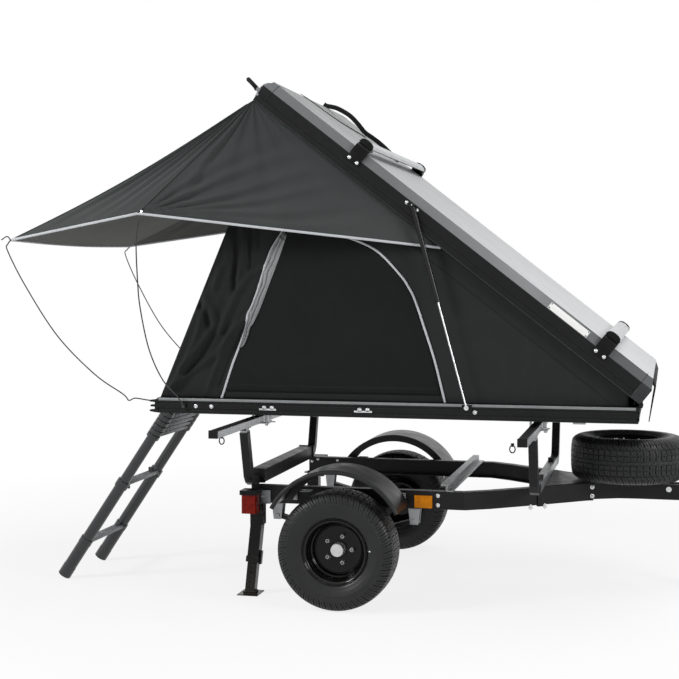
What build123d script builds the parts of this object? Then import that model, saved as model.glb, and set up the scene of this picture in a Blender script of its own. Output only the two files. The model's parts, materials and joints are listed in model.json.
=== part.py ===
from build123d import *
import math
import os

# Off-road camping trailer with a clamshell roof tent, millimetres.
# X points forward, Y to the left, Z up. While building, X = 0 is the axle;
# at the end every piece moves so that X = 0 is the middle of the whole length.

# Wheels and axle
TRACK = 1380
TYRE_R = 260.5
TYRE_WIDE = 205
TYRE_SHOULDER_R = 252
RIM_R = 145
RIM_BEAD_R = 131
RIM_WIDE = 172
RIM_WALL = 4
RIM_DISC_IN = 28
HUB_R = 36
HUB_LONG = 92
CAP_R = 30
LUG_CIRCLE_R = 57.15
LUG_COUNT = 5
LUG_R = 10
STUD_R = 6
SPINDLE_R = 14
RUNNING_GAP = 0.06
SEAT_GAP = 0.3
AXLE_TUBE = 45
SPRING_WIDE = 40
SPRING_THICK = 18
SPRING_EYE_R = 14
SPRING_REAR_X = -326
SPRING_FRONT_X = 302

# Frame
RAIL_OUT = 518
RAIL_TOP = 502
SPRING_Y = RAIL_OUT - 20
SPRING_EYE_Z = RAIL_TOP - 136
RAIL_DEEP = 80
RAIL_WALL = 5
RAIL_FLANGE = 40
RAIL_REAR_X = -450
BEND_X = 529
DRAWBAR_OUT = 55
DRAWBAR_FRONT_X = 1600
SPLICE_X = 1062
SPLICE_OVERLAP = 110
MEMBER = 38
REAR_MEMBER_X_SPAN = (RAIL_REAR_X - 30, RAIL_REAR_X + 36)
REAR_MEMBER_HIGH = 60
MID_MEMBER_X = 430
BAR_X = (RAIL_REAR_X + 3, 834)

# Rack
POST = 38
POST_WALL = 3
POST_FOOT_Y = RAIL_OUT - 78
POST_TOP_Y = 628
BAR_BOTTOM = 775
BAR_HIGH = 30
BAR_WIDE = 40
BAR_HALF = 1062
BAR_WALL = 3
STRIP = 4
CAP_LONG = 5
RUNNER_Y = 395
RUNNER_WIDE = 40

# Fenders
FENDER_R = 320
FENDER_Z = TYRE_R + 39.5
FENDER_OUT = TRACK / 2 + 110
FENDER_IN = RAIL_OUT + 38
FENDER_SHEET = 3
FENDER_START = 27
FENDER_END = 152
FENDER_BEAD_R = 9.5
FENDER_FLANGE = 34
STAY_ANGLE = 35

# Lamps
LAMP_X = RAIL_REAR_X + 25
LAMP_Z = RAIL_TOP - 66
LAMP_Y = RAIL_OUT + 92

# Rear jacks
JACK_Y = RAIL_OUT - 11
JACK_FOOT_X = RAIL_REAR_X - 9
JACK_LEAN = 6
JACK_TUBE = 52
JACK_WALL = 3
JACK_GAP = 0.5
JACK_TOP = RAIL_TOP - RAIL_DEEP - 70
JACK_BOTTOM = 150
JACK_HOLE_R = 6
JACK_HOLES = (34, 58, 82, 106, 130)

# Tongue jack and coupler
TONGUE_X = DRAWBAR_FRONT_X - 38
TONGUE_Y = DRAWBAR_OUT + 57
TONGUE_TUBE_R = 24
TONGUE_TUBE_WALL = 3
TONGUE_WHEEL_R = 75
TONGUE_WHEEL_WIDE = 48
CASTER_TRAIL = 34
CASTER_HEAD_Z = 168
CASTER_STEM = 72
COUPLER_BALL_R = 25.2
COUPLER_X = DRAWBAR_FRONT_X + 190

# Spare
SPARE_X = 1212
SPARE_BOTTOM = RAIL_TOP + 10
PLATE_X = (862, 1045)

# Tent base
TENT_REAR_X = -842.5
TENT_FRONT_X = 1272
TENT_HALF = 674.5
TRAY_BOTTOM = 837
TRAY_TOP = 905
TRAY_EDGE = 45
TRAY_FLOOR = 18

# Lid, drawn closed and then opened
SEAL = 8
LID_FRAME = 78
LID_CROWN = 39
LID_CHAMFER = 24
LID_EDGE = 45
LID_SKIN = 3
LID_ANGLE = 38
HINGE_OUT = 10
KNUCKLE_R = 8
PIN_R = 4
HINGE_IN = 64.5
HINGE_Y = (-TENT_HALF + HINGE_IN, 0, TENT_HALF - HINGE_IN)
LID_BAR_BACK = (257, 1591)
LID_BAR_UP = LID_FRAME + LID_CROWN + 23
END_PLATE = 4
LATCH_Y = TENT_HALF - 44.5

# Gas struts
STRUT_Y = TENT_HALF + 17.5
STRUT_BASE = (TENT_FRONT_X - 714, TRAY_TOP - 15)
STRUT_LID_BACK = 1265.5
STRUT_LID_UP = 69.5
BARREL_LONG = 430
BARREL_R = 11
BARREL_WALL = 1.5
ROD_R = 4

# Tent fabric and awning
WALL_HALF = TENT_HALF - 32.5
WALL_TOP_IN = 117.5
CLOTH = 8
CLOTH_GAP = 0.3
FLY_TIP = (693.5, 33.5, 710)
FLY_SIDE = (-13.5, 225.5, 813)
FLY_END_BACK = 1053
FLY_TOP_IN = 4.5
FLY_END_IN = 20.5
AWNING_ROD_R = 3

# Ladder
LADDER_LEAN = (587, 872)
LADDER_END = (TENT_REAR_X - 29.5, TRAY_BOTTOM + 1)
LADDER_Y = -195
LADDER_HALF = 216
LADDER_UPPER_R = 24.5
LADDER_MID_R = 27
LADDER_WALL = 2.5
LADDER_GAP = 0.5
COLLAR_R = 31.5
BOOT_R = 31.5
TREAD_HALF = 24
TREAD_THICK = 15
TREAD_Z = (183, 466)
STACK_Z = (700, 722, 744, 766, 788, 810)

HINGE_X = TENT_FRONT_X + HINGE_OUT
HINGE_Z = TRAY_TOP + SEAL / 2
LID_BOTTOM = TRAY_TOP + SEAL
WHEEL_Y = TRACK / 2
PARTS = {}
UP = (Align.CENTER, Align.CENTER, Align.MIN)


def keep(name, shape):
    """Add a finished solid to the piece of this name."""
    PARTS.setdefault(name, []).extend(shape.solids())


def keep_both(name, shape):
    """Add a solid drawn on the right-hand side, and its mirror image, to one piece."""
    keep(name, shape)
    keep(name, mirror(shape, Plane.XZ))


def keep_pair(name, shape):
    """Keep a piece drawn on the right-hand side, and its mirror image as a piece of its own."""
    keep(name + "_right", shape)
    keep(name + "_left", mirror(shape, Plane.XZ))


def block(x, y, z):
    """A box from its low and high ends along X, Y and Z."""
    size = (x[1] - x[0], y[1] - y[0], z[1] - z[0])
    return Pos((x[0] + x[1]) / 2, (y[0] + y[1]) / 2, (z[0] + z[1]) / 2) * Box(*size)


def rod(start, end, radius):
    """A round bar between two points."""
    a, b = Vector(*start), Vector(*end)
    place = Plane(origin=a, z_dir=b - a)
    return place * Cylinder(radius, (b - a).length, align=UP)


def pin_y(x, z, y, radius):
    """A round pin along Y from the first to the second y."""
    return rod((x, y[0], z), (x, y[1], z), radius)


def side_plate(points, y):
    """A plate drawn in the XZ plane, between two values of Y."""
    face = Plane(origin=(0, y[1], 0), x_dir=(1, 0, 0), z_dir=(0, -1, 0)) * Polygon(*points, align=None)
    return extrude(face, y[1] - y[0], dir=(0, -1, 0))


def cross_plate(points, x):
    """A plate drawn in the YZ plane, between two values of X."""
    face = Plane(origin=(x[0], 0, 0), x_dir=(0, 1, 0), z_dir=(1, 0, 0)) * Polygon(*points, align=None)
    return extrude(face, x[1] - x[0], dir=(1, 0, 0))


def flat_plate(points, z):
    """A plate drawn in the XY plane, between two values of Z."""
    return extrude(Pos(0, 0, z[0]) * Polygon(*points, align=None), z[1] - z[0], dir=(0, 0, 1))


def shifted(points, away):
    """An open line of points moved sideways to its left, with mitred corners."""
    steps = [Vector(b[0] - a[0], b[1] - a[1]).normalized() for a, b in zip(points, points[1:])]
    sides = [Vector(-s.Y, s.X) for s in steps]
    out = []
    for i, p in enumerate(points):
        before = sides[max(i - 1, 0)]
        after = sides[min(i, len(sides) - 1)]
        middle = (before + after).normalized()
        reach = away / middle.dot(after)
        out.append((p[0] + middle.X * reach, p[1] + middle.Y * reach))
    return out


def band(points, near, far):
    """The outline between two sideways shifts of an open line."""
    return shifted(points, near) + shifted(points, far)[::-1]


def opened(shape):
    """Turn a piece of the closed lid about the hinge to where it stands open."""
    return shape.rotate(Axis((HINGE_X, 0, HINGE_Z), (0, 1, 0)), LID_ANGLE)


def opened_point(x, z):
    """Where a point of the closed lid comes to stand with the lid open, in the XZ plane."""
    angle = math.radians(LID_ANGLE)
    dx, dz = x - HINGE_X, z - HINGE_Z
    new_x = HINGE_X + dx * math.cos(angle) + dz * math.sin(angle)
    return (new_x, HINGE_Z - dx * math.sin(angle) + dz * math.cos(angle))


# Frame rails: straight channels that bend inwards and overlap the drawbar channels
slope_y = [(BEND_X, RAIL_OUT), (BEND_X + 101, RAIL_OUT - 60), (842, RAIL_OUT - 227), (1034, DRAWBAR_OUT + 74), (1175, DRAWBAR_OUT + 8)]
plan = [(x, -y) for x, y in slope_y]
plan = [(RAIL_REAR_X, -RAIL_OUT)] + plan + [(1260, -DRAWBAR_OUT), (DRAWBAR_FRONT_X, -DRAWBAR_OUT)]


def plan_between(low, high):
    """The part of the rail's plan line between two values of X."""
    out = []
    for a, b in zip(plan, plan[1:]):
        cut = []
        for x in (low, high):
            if a[0] < x < b[0]:
                cut.append((x, a[1] + (b[1] - a[1]) * (x - a[0]) / (b[0] - a[0])))
        inside = [a] if low <= a[0] <= high else []
        out += inside + cut
    if low <= plan[-1][0] <= high:
        out.append(plan[-1])
    return out


def channel(points, top, deep, wall, flange):
    """A channel section along a plan line, open to the left of the line."""
    web = flat_plate(band(points, 0, wall), (top - deep, top))
    upper = flat_plate(band(points, 0, flange), (top - wall, top))
    lower = flat_plate(band(points, 0, flange), (top - deep, top - deep + wall))
    return web + upper + lower


side_rail = channel(plan_between(RAIL_REAR_X, SPLICE_X), RAIL_TOP, RAIL_DEEP, RAIL_WALL, RAIL_FLANGE)
keep_pair("side_rail", side_rail)

inner_line = shifted(plan_between(SPLICE_X - SPLICE_OVERLAP, DRAWBAR_FRONT_X), RAIL_WALL)
drawbar_top = RAIL_TOP - RAIL_WALL
drawbar_deep = RAIL_DEEP - 2 * RAIL_WALL
drawbar = channel(inner_line, drawbar_top, drawbar_deep, RAIL_WALL, RAIL_FLANGE - 2 * RAIL_WALL)
keep_pair("drawbar", drawbar)

# Cross members
half = MEMBER / 2
member_x = REAR_MEMBER_X_SPAN
member_top = RAIL_TOP + REAR_MEMBER_HIGH
lipped = [
    (member_x[0], member_top - 18), (member_x[0], member_top), (member_x[1], member_top), (member_x[1], RAIL_TOP),
    (member_x[0] + 12, RAIL_TOP), (member_x[0] + 12, RAIL_TOP + 4), (member_x[1] - 4, RAIL_TOP + 4),
    (member_x[1] - 4, member_top - 4), (member_x[0] + 4, member_top - 4), (member_x[0] + 4, member_top - 18),
]
keep("rear_cross_member", side_plate(lipped, (-POST_FOOT_Y, POST_FOOT_Y)))

z_section = [(0, 0), (30, 0), (30, 4), (4, 4), (4, 30), (-26, 30), (-26, 26), (0, 26)]
z_points = [(MID_MEMBER_X + 16 + x, RAIL_TOP + z) for x, z in z_section]
keep("mid_cross_member", side_plate(z_points, (-RAIL_OUT, RAIL_OUT)))

member_x = (BAR_X[1] - half, BAR_X[1] + half)
front_member = block(member_x, (-POST_FOOT_Y, POST_FOOT_Y), (RAIL_TOP, RAIL_TOP + MEMBER))
inside = block(
    (member_x[0] + 3, member_x[1] - 3), (-POST_FOOT_Y - 1, POST_FOOT_Y + 1), (RAIL_TOP + 3, RAIL_TOP + MEMBER - 3)
)
keep("front_cross_member", front_member - inside)

# Bent rack posts with an inner silver tube and an angle bracket under the bar
post_line = [
    (-POST_FOOT_Y, RAIL_TOP + half), (-RAIL_OUT - 4, RAIL_TOP + half), (-RAIL_OUT - 32, RAIL_TOP + 31),
    (-RAIL_OUT - 50, RAIL_TOP + 53), (-POST_TOP_Y, BAR_BOTTOM - 19),
]
lean = Vector(post_line[-1][0] - post_line[-2][0], post_line[-1][1] - post_line[-2][1]).normalized()
for end, x in zip(("rear", "front"), BAR_X):
    outer = cross_plate(band(post_line, -half, half), (x - half, x + half))
    bore = cross_plate(band(post_line, -half + POST_WALL, half - POST_WALL), (x - half + POST_WALL, x + half - POST_WALL))
    keep_both("posts", outer - bore)
    low = (post_line[-1][0] - lean.X * 60, post_line[-1][1] - lean.Y * 60)
    high = (post_line[-1][0] + lean.X * 11, post_line[-1][1] + lean.Y * 11)
    sleeve = cross_plate(band([low, high], -15.5, 15.5), (x - 15.5, x + 15.5))
    angle = block((x - 19, x + 19), (-POST_TOP_Y - 26, -POST_TOP_Y + 40), (BAR_BOTTOM - 4, BAR_BOTTOM))
    leg = block((x + 15.5, x + 19), (-POST_TOP_Y - 26, -POST_TOP_Y + 4), (BAR_BOTTOM - 17, BAR_BOTTOM - 4))
    keep_both("post_brackets", sleeve + angle + leg)

# Rack crossbars with a rubber strip and end caps
for end, x in zip(("rear", "front"), BAR_X):
    tube = block((x - BAR_WIDE / 2, x + BAR_WIDE / 2), (-BAR_HALF, BAR_HALF), (BAR_BOTTOM, BAR_BOTTOM + BAR_HIGH))
    hollow = block(
        (x - BAR_WIDE / 2 + BAR_WALL, x + BAR_WIDE / 2 - BAR_WALL),
        (-BAR_HALF - 1, BAR_HALF + 1),
        (BAR_BOTTOM + BAR_WALL, BAR_BOTTOM + BAR_HIGH - BAR_WALL),
    )
    keep(end + "_crossbar", tube - hollow)
    bar_top = BAR_BOTTOM + BAR_HIGH
    keep("bar_trim", block((x - 15, x + 15), (-BAR_HALF, BAR_HALF), (bar_top, bar_top + STRIP)))
    cap_x = (x - BAR_WIDE / 2, x + BAR_WIDE / 2)
    plug_x = (cap_x[0] + BAR_WALL, cap_x[1] - BAR_WALL)
    cap = block(cap_x, (-BAR_HALF - CAP_LONG, -BAR_HALF), (BAR_BOTTOM, bar_top + STRIP))
    plug = block(plug_x, (-BAR_HALF, -BAR_HALF + 20), (BAR_BOTTOM + BAR_WALL, bar_top - BAR_WALL))
    keep_both("bar_trim", cap + plug)

# Axle, hubs' spindles and leaf springs
axle_low = TYRE_R - AXLE_TUBE / 2
axle_high = TYRE_R + AXLE_TUBE / 2
disc_y = WHEEL_Y + RIM_WIDE / 2 - RIM_DISC_IN
hub_in_y = disc_y - HUB_LONG
axle = block((-AXLE_TUBE / 2, AXLE_TUBE / 2), (-hub_in_y + 6, hub_in_y - 6), (axle_low, axle_high))
axle += pin_y(0, TYRE_R, (-disc_y + 4, disc_y - 4), SPINDLE_R)
keep("axle", axle)

spring_y = (-SPRING_Y - SPRING_WIDE / 2, -SPRING_Y + SPRING_WIDE / 2)
spring_low = axle_high + 2
spring_mid = spring_low + SPRING_THICK / 2
sag_z = spring_mid + 30
spring_line = [(SPRING_REAR_X, SPRING_EYE_Z), (-170, sag_z), (-60, spring_mid), (60, spring_mid), (160, sag_z), (SPRING_FRONT_X, SPRING_EYE_Z)]
spring = side_plate(band(spring_line, -SPRING_THICK / 2, SPRING_THICK / 2), spring_y)
for x in (SPRING_REAR_X, SPRING_FRONT_X):
    spring += pin_y(x, SPRING_EYE_Z, spring_y, SPRING_EYE_R)
seat = block((-50, 50), spring_y, (axle_high, spring_low + 4))
bolts = None
for x in (-30, 30):
    for y in (spring_y[0] - 5, spring_y[1] + 5):
        leg = rod((x, y, axle_low - 14), (x, y, spring_low + SPRING_THICK + 6), 5)
        bolts = leg if bolts is None else bolts + leg
clamp_y = (spring_y[0] - 12, spring_y[1] + 12)
clamp = block((-45, 45), clamp_y, (spring_low + SPRING_THICK, spring_low + SPRING_THICK + 6))
clamp += block((-45, 45), clamp_y, (axle_low - 6, axle_low))
keep_both("leaf_springs", spring + seat)
keep_both("spring_clamps", clamp + bolts)

# Hangers are top-hat brackets under the rail
rail_bottom = RAIL_TOP - RAIL_DEEP
for end, x in (("rear", SPRING_REAR_X), ("front", SPRING_FRONT_X)):
    cheeks = None
    for y in (spring_y[0] - 5, spring_y[1] + 0.3):
        outline = [(x - 26, rail_bottom), (x + 26, rail_bottom), (x + 18, SPRING_EYE_Z - 16), (x - 18, SPRING_EYE_Z - 16)]
        cheek = side_plate(outline, (y, y + 4.7))
        cheeks = cheek if cheeks is None else cheeks + cheek
    roof = block((x - 26, x + 26), (spring_y[0] - 5, spring_y[1] + 5), (rail_bottom - 4, rail_bottom))
    bolt = pin_y(x, SPRING_EYE_Z, (spring_y[0] - 12, spring_y[0] - 5), 10)
    keep_both("spring_hangers", cheeks + roof + bolt)

# Wheels: tyre, dished rim with lugs, hub with dust cap
shoulder = TYRE_WIDE / 2
BEAD = RIM_BEAD_R + SEAT_GAP
tyre_profile = [
    (BEAD, -RIM_WIDE / 2 + 9.6), (RIM_R + 0.3, -RIM_WIDE / 2 + 4.3), (RIM_R + 12, -RIM_WIDE / 2 - 2),
    (RIM_R + 50, -shoulder), (RIM_R + 72, -shoulder),
    (TYRE_SHOULDER_R, -shoulder + 12), (TYRE_R, -shoulder + 30), (TYRE_R, shoulder - 30),
    (TYRE_SHOULDER_R, shoulder - 12), (RIM_R + 72, shoulder), (RIM_R + 50, shoulder),
    (RIM_R + 12, RIM_WIDE / 2 + 2), (RIM_R + 0.3, RIM_WIDE / 2 - 4.3), (BEAD, RIM_WIDE / 2 - 9.6),
    (BEAD, RIM_WIDE / 2 - 24), (RIM_BEAD_R + 12, RIM_WIDE / 2 - 26), (TYRE_SHOULDER_R - 22, shoulder - 14),
    (TYRE_SHOULDER_R - 22, -shoulder + 14), (RIM_BEAD_R + 12, -RIM_WIDE / 2 + 26), (BEAD, -RIM_WIDE / 2 + 24),
]


def turned(profile, plane):
    """Revolve an outline of (radius, along) points about its plane's upright axis."""
    return plane * revolve(Plane.XZ * Polygon(*profile, align=None), Axis.Z, 360)


def wheel_tyre(plane):
    """A treaded tyre about the plane's Z axis."""
    return turned(tyre_profile, plane)


def wheel_rim(plane):
    """A dished steel rim; its disc lies towards the plane's +Z."""
    edge = RIM_WIDE / 2
    w = RIM_WALL
    outer = [
        (RIM_R, -edge), (RIM_R, -edge + w), (RIM_BEAD_R, -edge + 9), (RIM_BEAD_R, -edge + 30), (112, -edge + 46),
        (112, 0), (RIM_BEAD_R, 30), (RIM_BEAD_R, edge - 9), (RIM_R, edge - w), (RIM_R, edge),
        (RIM_R - w, edge), (RIM_BEAD_R - w, edge - 8), (RIM_BEAD_R - w, 31),
        (112, edge - RIM_DISC_IN), (90, edge - RIM_DISC_IN + 6), (70, edge - RIM_DISC_IN), (HUB_R, edge - RIM_DISC_IN),
        (HUB_R, edge - RIM_DISC_IN - w), (70, edge - RIM_DISC_IN - w), (90, edge - RIM_DISC_IN + 6 - w),
        (108, edge - RIM_DISC_IN - w), (108, -edge + 47), (RIM_BEAD_R - w, -edge + 31), (RIM_BEAD_R - w, -edge + 8),
        (RIM_R - w, -edge),
    ]
    rim = turned(outer, plane)
    for spot in lug_spots(edge - RIM_DISC_IN - 2 * w):
        rim -= plane * spot * Cylinder(STUD_R + SEAT_GAP, 3 * w, align=UP)
    return rim


def lug_spots(height):
    """The places of the wheel studs, at this height above the wheel's middle."""
    out = []
    for i in range(LUG_COUNT):
        turn = math.radians(360 * i / LUG_COUNT)
        out.append(Pos(LUG_CIRCLE_R * math.cos(turn), LUG_CIRCLE_R * math.sin(turn), height))
    return out


for side, sign in (("right", -1), ("left", 1)):
    plane = Plane(origin=(0, sign * WHEEL_Y, TYRE_R), x_dir=(1, 0, 0), z_dir=(0, sign, 0))
    keep(side + "_tyre", wheel_tyre(plane))
    keep(side + "_rim", wheel_rim(plane))
    face = RIM_WIDE / 2 - RIM_DISC_IN
    bore = SPINDLE_R + RUNNING_GAP
    hub = [
        (bore, face - HUB_LONG), (HUB_R + 12, face - HUB_LONG), (HUB_R + 12, face - HUB_LONG + 20),
        (HUB_R - 2, face - HUB_LONG + 26), (HUB_R - 2, face - 18), (80, face - 18), (80, face - RIM_WALL),
        (HUB_R - 0.3, face - RIM_WALL), (HUB_R - 0.3, face + 3), (CAP_R, face + 3), (CAP_R, face + 22), (CAP_R - 6, face + 28),
        (0, face + 28), (0, face + 20), (bore, face + 20),
    ]
    hub_solid = turned(hub, plane)
    for spot in lug_spots(face - RIM_WALL - 2):
        hub_solid += plane * spot * Cylinder(STUD_R, RIM_WALL + 6, align=UP)
    for spot in lug_spots(face):
        hub_solid += plane * spot * Cylinder(LUG_R, 15, align=UP)
    keep(side + "_hub", hub_solid)

spare_plane = Plane(origin=(SPARE_X, 0, SPARE_BOTTOM + TYRE_WIDE / 2), x_dir=(1, 0, 0), z_dir=(0, 0, 1))
keep("spare_tyre", wheel_tyre(spare_plane))
keep("spare_rim", wheel_rim(spare_plane))
carrier_half = 150
carrier = block((SPARE_X - 60, SPARE_X + 60), (-carrier_half, carrier_half), (drawbar_top, drawbar_top + 5))
carrier += block((SPARE_X - 60, SPARE_X + 60), (-30, 30), (drawbar_top, SPARE_BOTTOM))
disc_low = SPARE_BOTTOM + TYRE_WIDE / 2 + RIM_WIDE / 2 - RIM_DISC_IN - RIM_WALL
carrier += rod((SPARE_X, 0, SPARE_BOTTOM), (SPARE_X, 0, disc_low - 10), 30)
carrier += rod((SPARE_X, 0, disc_low - 10), (SPARE_X, 0, disc_low), 75)
carrier += rod((SPARE_X, 0, disc_low), (SPARE_X, 0, disc_low + 16), HUB_R - 4)
keep("spare_carrier", carrier)
edge_line = shifted(plan_between(PLATE_X[0], PLATE_X[1]), 8)
keep("spare_carrier", flat_plate(edge_line + [(x, -y) for x, y in edge_line[::-1]], (RAIL_TOP, RAIL_TOP + 3)))

# Fenders: one revolved sheet with a rolled bead outside and a flange inside
fender_plane = Plane(
    origin=(0, 0, FENDER_Z), z_dir=(0, -1, 0),
    x_dir=(math.cos(math.radians(FENDER_START)), 0, math.sin(math.radians(FENDER_START))),
)
under = FENDER_R - FENDER_SHEET
section = Polygon((under, FENDER_IN), (FENDER_R, FENDER_IN), (FENDER_R, FENDER_OUT), (under, FENDER_OUT), align=None)
section += Polygon(
    (FENDER_R - FENDER_FLANGE, FENDER_IN - FENDER_SHEET), (FENDER_R, FENDER_IN - FENDER_SHEET),
    (FENDER_R, FENDER_IN), (FENDER_R - FENDER_FLANGE, FENDER_IN), align=None,
)
section += Pos(FENDER_R - FENDER_BEAD_R, FENDER_OUT - 3) * Circle(FENDER_BEAD_R)
fender = fender_plane * revolve(Plane.XZ * section, Axis.Z, FENDER_END - FENDER_START)
keep_pair("fender", fender)
flange_r = FENDER_R - FENDER_FLANGE / 2
stay_x = flange_r * math.cos(math.radians(STAY_ANGLE))
stay_z = FENDER_Z + flange_r * math.sin(math.radians(STAY_ANGLE))
for x in (-stay_x, stay_x):
    stay = block((x - 16, x + 16), (-RAIL_OUT - 4, -RAIL_OUT), (RAIL_TOP - 62, RAIL_TOP - 12))
    stay += block((x - 16, x + 16), (-FENDER_IN + FENDER_SHEET, -RAIL_OUT), (RAIL_TOP - 20, RAIL_TOP - 16))
    stay += block((x - 16, x + 16), (-FENDER_IN + FENDER_SHEET, -FENDER_IN + FENDER_SHEET + 4), (stay_z - 22, RAIL_TOP - 16))
    keep_both("fender_brackets", stay)

# Tail lamps on galvanised brackets, side markers on the rails
lamp_x = (LAMP_X - 36, LAMP_X + 38)
lamp_y = (-LAMP_Y - 38, -LAMP_Y + 38)
LAMP_SPLIT = lamp_y[1] - 16
housing = block(lamp_x, (LAMP_SPLIT, lamp_y[1]), (LAMP_Z - 50, LAMP_Z + 56))
housing += block((lamp_x[0] - 4, lamp_x[1] + 4), (lamp_y[0] - 3, lamp_y[1]), (LAMP_Z + 46, LAMP_Z + 58))
housing += block((lamp_x[0] - 4, lamp_x[1] + 4), (lamp_y[0] - 3, lamp_y[0] + 3), (LAMP_Z + 38, LAMP_Z + 58))
keep_both("tail_lamps", housing)
lens = block((lamp_x[0] + 2, lamp_x[1] - 2), (lamp_y[0] + 3.3, LAMP_SPLIT), (LAMP_Z - 46, LAMP_Z + 46))
lens = chamfer(lens.edges().filter_by(Axis.Z).group_by(Axis.Y)[0], 5)
keep_both("tail_lenses", lens)
arm = block((LAMP_X - 18, LAMP_X + 42), (lamp_y[1], -RAIL_OUT), (LAMP_Z + 10, LAMP_Z + 14))
arm += block((LAMP_X + 2, LAMP_X + 66), (-RAIL_OUT - 4, -RAIL_OUT), (LAMP_Z - 18, LAMP_Z + 42))
keep_both("lamp_brackets", arm)
marker = block((306, 384), (-RAIL_OUT - 16, -RAIL_OUT), (RAIL_TOP - 74, RAIL_TOP - 20))
keep_both("side_markers", marker)

# Rear drop-leg jacks: outer tube on the rail and a sliding inner leg with a foot
lean_jack = math.radians(JACK_LEAN)


def jack_plane(along):
    """The plane across the leaning leg, this far up the leg from the foot."""
    origin = (JACK_FOOT_X + along * math.sin(lean_jack), -JACK_Y, along * math.cos(lean_jack))
    return Plane(origin=origin, x_dir=(math.cos(lean_jack), 0, -math.sin(lean_jack)),
                 z_dir=(math.sin(lean_jack), 0, math.cos(lean_jack)))


def leg_piece(size, low, high):
    """A square length of the leg."""
    return jack_plane(low) * Box(size, size, high - low, align=UP)


outer_leg = leg_piece(JACK_TUBE, JACK_BOTTOM, JACK_TOP)
inner_size = JACK_TUBE - 2 * JACK_WALL
outer_leg -= leg_piece(inner_size, JACK_BOTTOM - 1, JACK_TOP + 1)
top_spot = jack_plane(JACK_TOP).origin
plate_x = (top_spot.X - 45, top_spot.X + 45)
bracket = block(plate_x, (-RAIL_OUT, -RAIL_OUT + RAIL_FLANGE), (rail_bottom - 6, rail_bottom))
neck = block((top_spot.X - 30, top_spot.X + 30), (-JACK_Y - 26, -JACK_Y + 26), (JACK_TOP - 30, rail_bottom - 6))
neck -= leg_piece(JACK_TUBE - 0.5, JACK_TOP - 60, JACK_TOP + 30)
collar = leg_piece(JACK_TUBE + 8, JACK_BOTTOM, JACK_BOTTOM + 26) - leg_piece(JACK_TUBE - 0.5, JACK_BOTTOM - 1, JACK_BOTTOM + 27)
catch = jack_plane(JACK_BOTTOM - 8) * Pos(JACK_TUBE / 2 + 6, 0, 0) * Box(10, 22, 60, align=UP)
collar += catch
cap = block((top_spot.X - 30, top_spot.X + 30), (-JACK_Y - 26, -JACK_Y + 26), (rail_bottom - 26, rail_bottom - 6))
keep_both("rear_jack_tubes", outer_leg + neck + cap + bracket + collar)
leg_size = inner_size - 2 * JACK_GAP
leg = leg_piece(leg_size, 4, JACK_BOTTOM + 70)
for along_leg in JACK_HOLES:
    leg -= jack_plane(along_leg) * Rot(90, 0, 0) * Cylinder(JACK_HOLE_R, 2 * JACK_TUBE)
foot = block((JACK_FOOT_X - 48, JACK_FOOT_X + 48), (-JACK_Y - 57, -JACK_Y + 57), (0, 4))
foot += block((JACK_FOOT_X - 28, JACK_FOOT_X + 28), (-JACK_Y - 27, -JACK_Y + 27), (4, 14))
keep_pair("rear_jack_leg", leg + foot)

# Coupler over the drawbar's end, with a socket for the ball
socket_z = RAIL_TOP - 32
coupler = block((DRAWBAR_FRONT_X - 150, DRAWBAR_FRONT_X + 10), (-DRAWBAR_OUT, DRAWBAR_OUT), (drawbar_top, drawbar_top + 8))
stations = [(DRAWBAR_FRONT_X - 50, drawbar_top + 30, 60, 50), (DRAWBAR_FRONT_X + 5, drawbar_top + 28, 60, 50)]
stations += [(COUPLER_X - 45, socket_z + 22, 74, 70)]
sections = []
for x, z, wide, high in stations:
    sections.append(Plane(origin=(x, 0, z), x_dir=(0, 1, 0), z_dir=(1, 0, 0)) * Rectangle(wide, high))
body = loft(sections, ruled=True)
nose = Pos(COUPLER_X - 20, 0, socket_z - 12) * Cylinder(42, 70, align=UP)
socket = Pos(COUPLER_X - 20, 0, socket_z - 20) * Cylinder(COUPLER_BALL_R, 42, align=UP)
keep("coupler", coupler + body + nose - socket)

# Tongue jack: clamped tube, sliding inner tube, caster fork and wheel
tube_top = drawbar_top + 223
tube_low = drawbar_top - 82
outer_tube = rod((TONGUE_X, TONGUE_Y, tube_low), (TONGUE_X, TONGUE_Y, tube_top), TONGUE_TUBE_R)
tube_bore = TONGUE_TUBE_R - TONGUE_TUBE_WALL
outer_tube -= rod((TONGUE_X, TONGUE_Y, tube_low - 1), (TONGUE_X, TONGUE_Y, tube_top - 6), tube_bore)
drawbar_face = DRAWBAR_OUT - RAIL_WALL
clamp_plate = block((TONGUE_X - 36, TONGUE_X + 36), (drawbar_face, drawbar_face + 8), (drawbar_top - 66, drawbar_top - 4))
arm = block((TONGUE_X - 22, TONGUE_X + 22), (drawbar_face + 8, TONGUE_Y - 10), (drawbar_top - 60, drawbar_top - 10))
arm -= rod((TONGUE_X, TONGUE_Y, tube_low - 20), (TONGUE_X, TONGUE_Y, tube_top), TONGUE_TUBE_R - 0.5)
keep("tongue_jack_tube", outer_tube + clamp_plate + arm)
leg_low = CASTER_HEAD_Z + 8
inner_tube = rod((TONGUE_X, TONGUE_Y, leg_low), (TONGUE_X, TONGUE_Y, drawbar_top + 23), tube_bore - 0.4)
inner_tube -= rod((TONGUE_X, TONGUE_Y, leg_low - 1), (TONGUE_X, TONGUE_Y, drawbar_top - 27), 12 + RUNNING_GAP)
keep("tongue_jack_leg", inner_tube)
wheel_x = TONGUE_X - CASTER_TRAIL
fork = rod((TONGUE_X, TONGUE_Y, CASTER_HEAD_Z - 2), (TONGUE_X, TONGUE_Y, CASTER_HEAD_Z + CASTER_STEM), 12)
fork_half = TONGUE_WHEEL_WIDE / 2 + 6
fork_y = (TONGUE_Y - fork_half - 5, TONGUE_Y + fork_half + 5)
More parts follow.
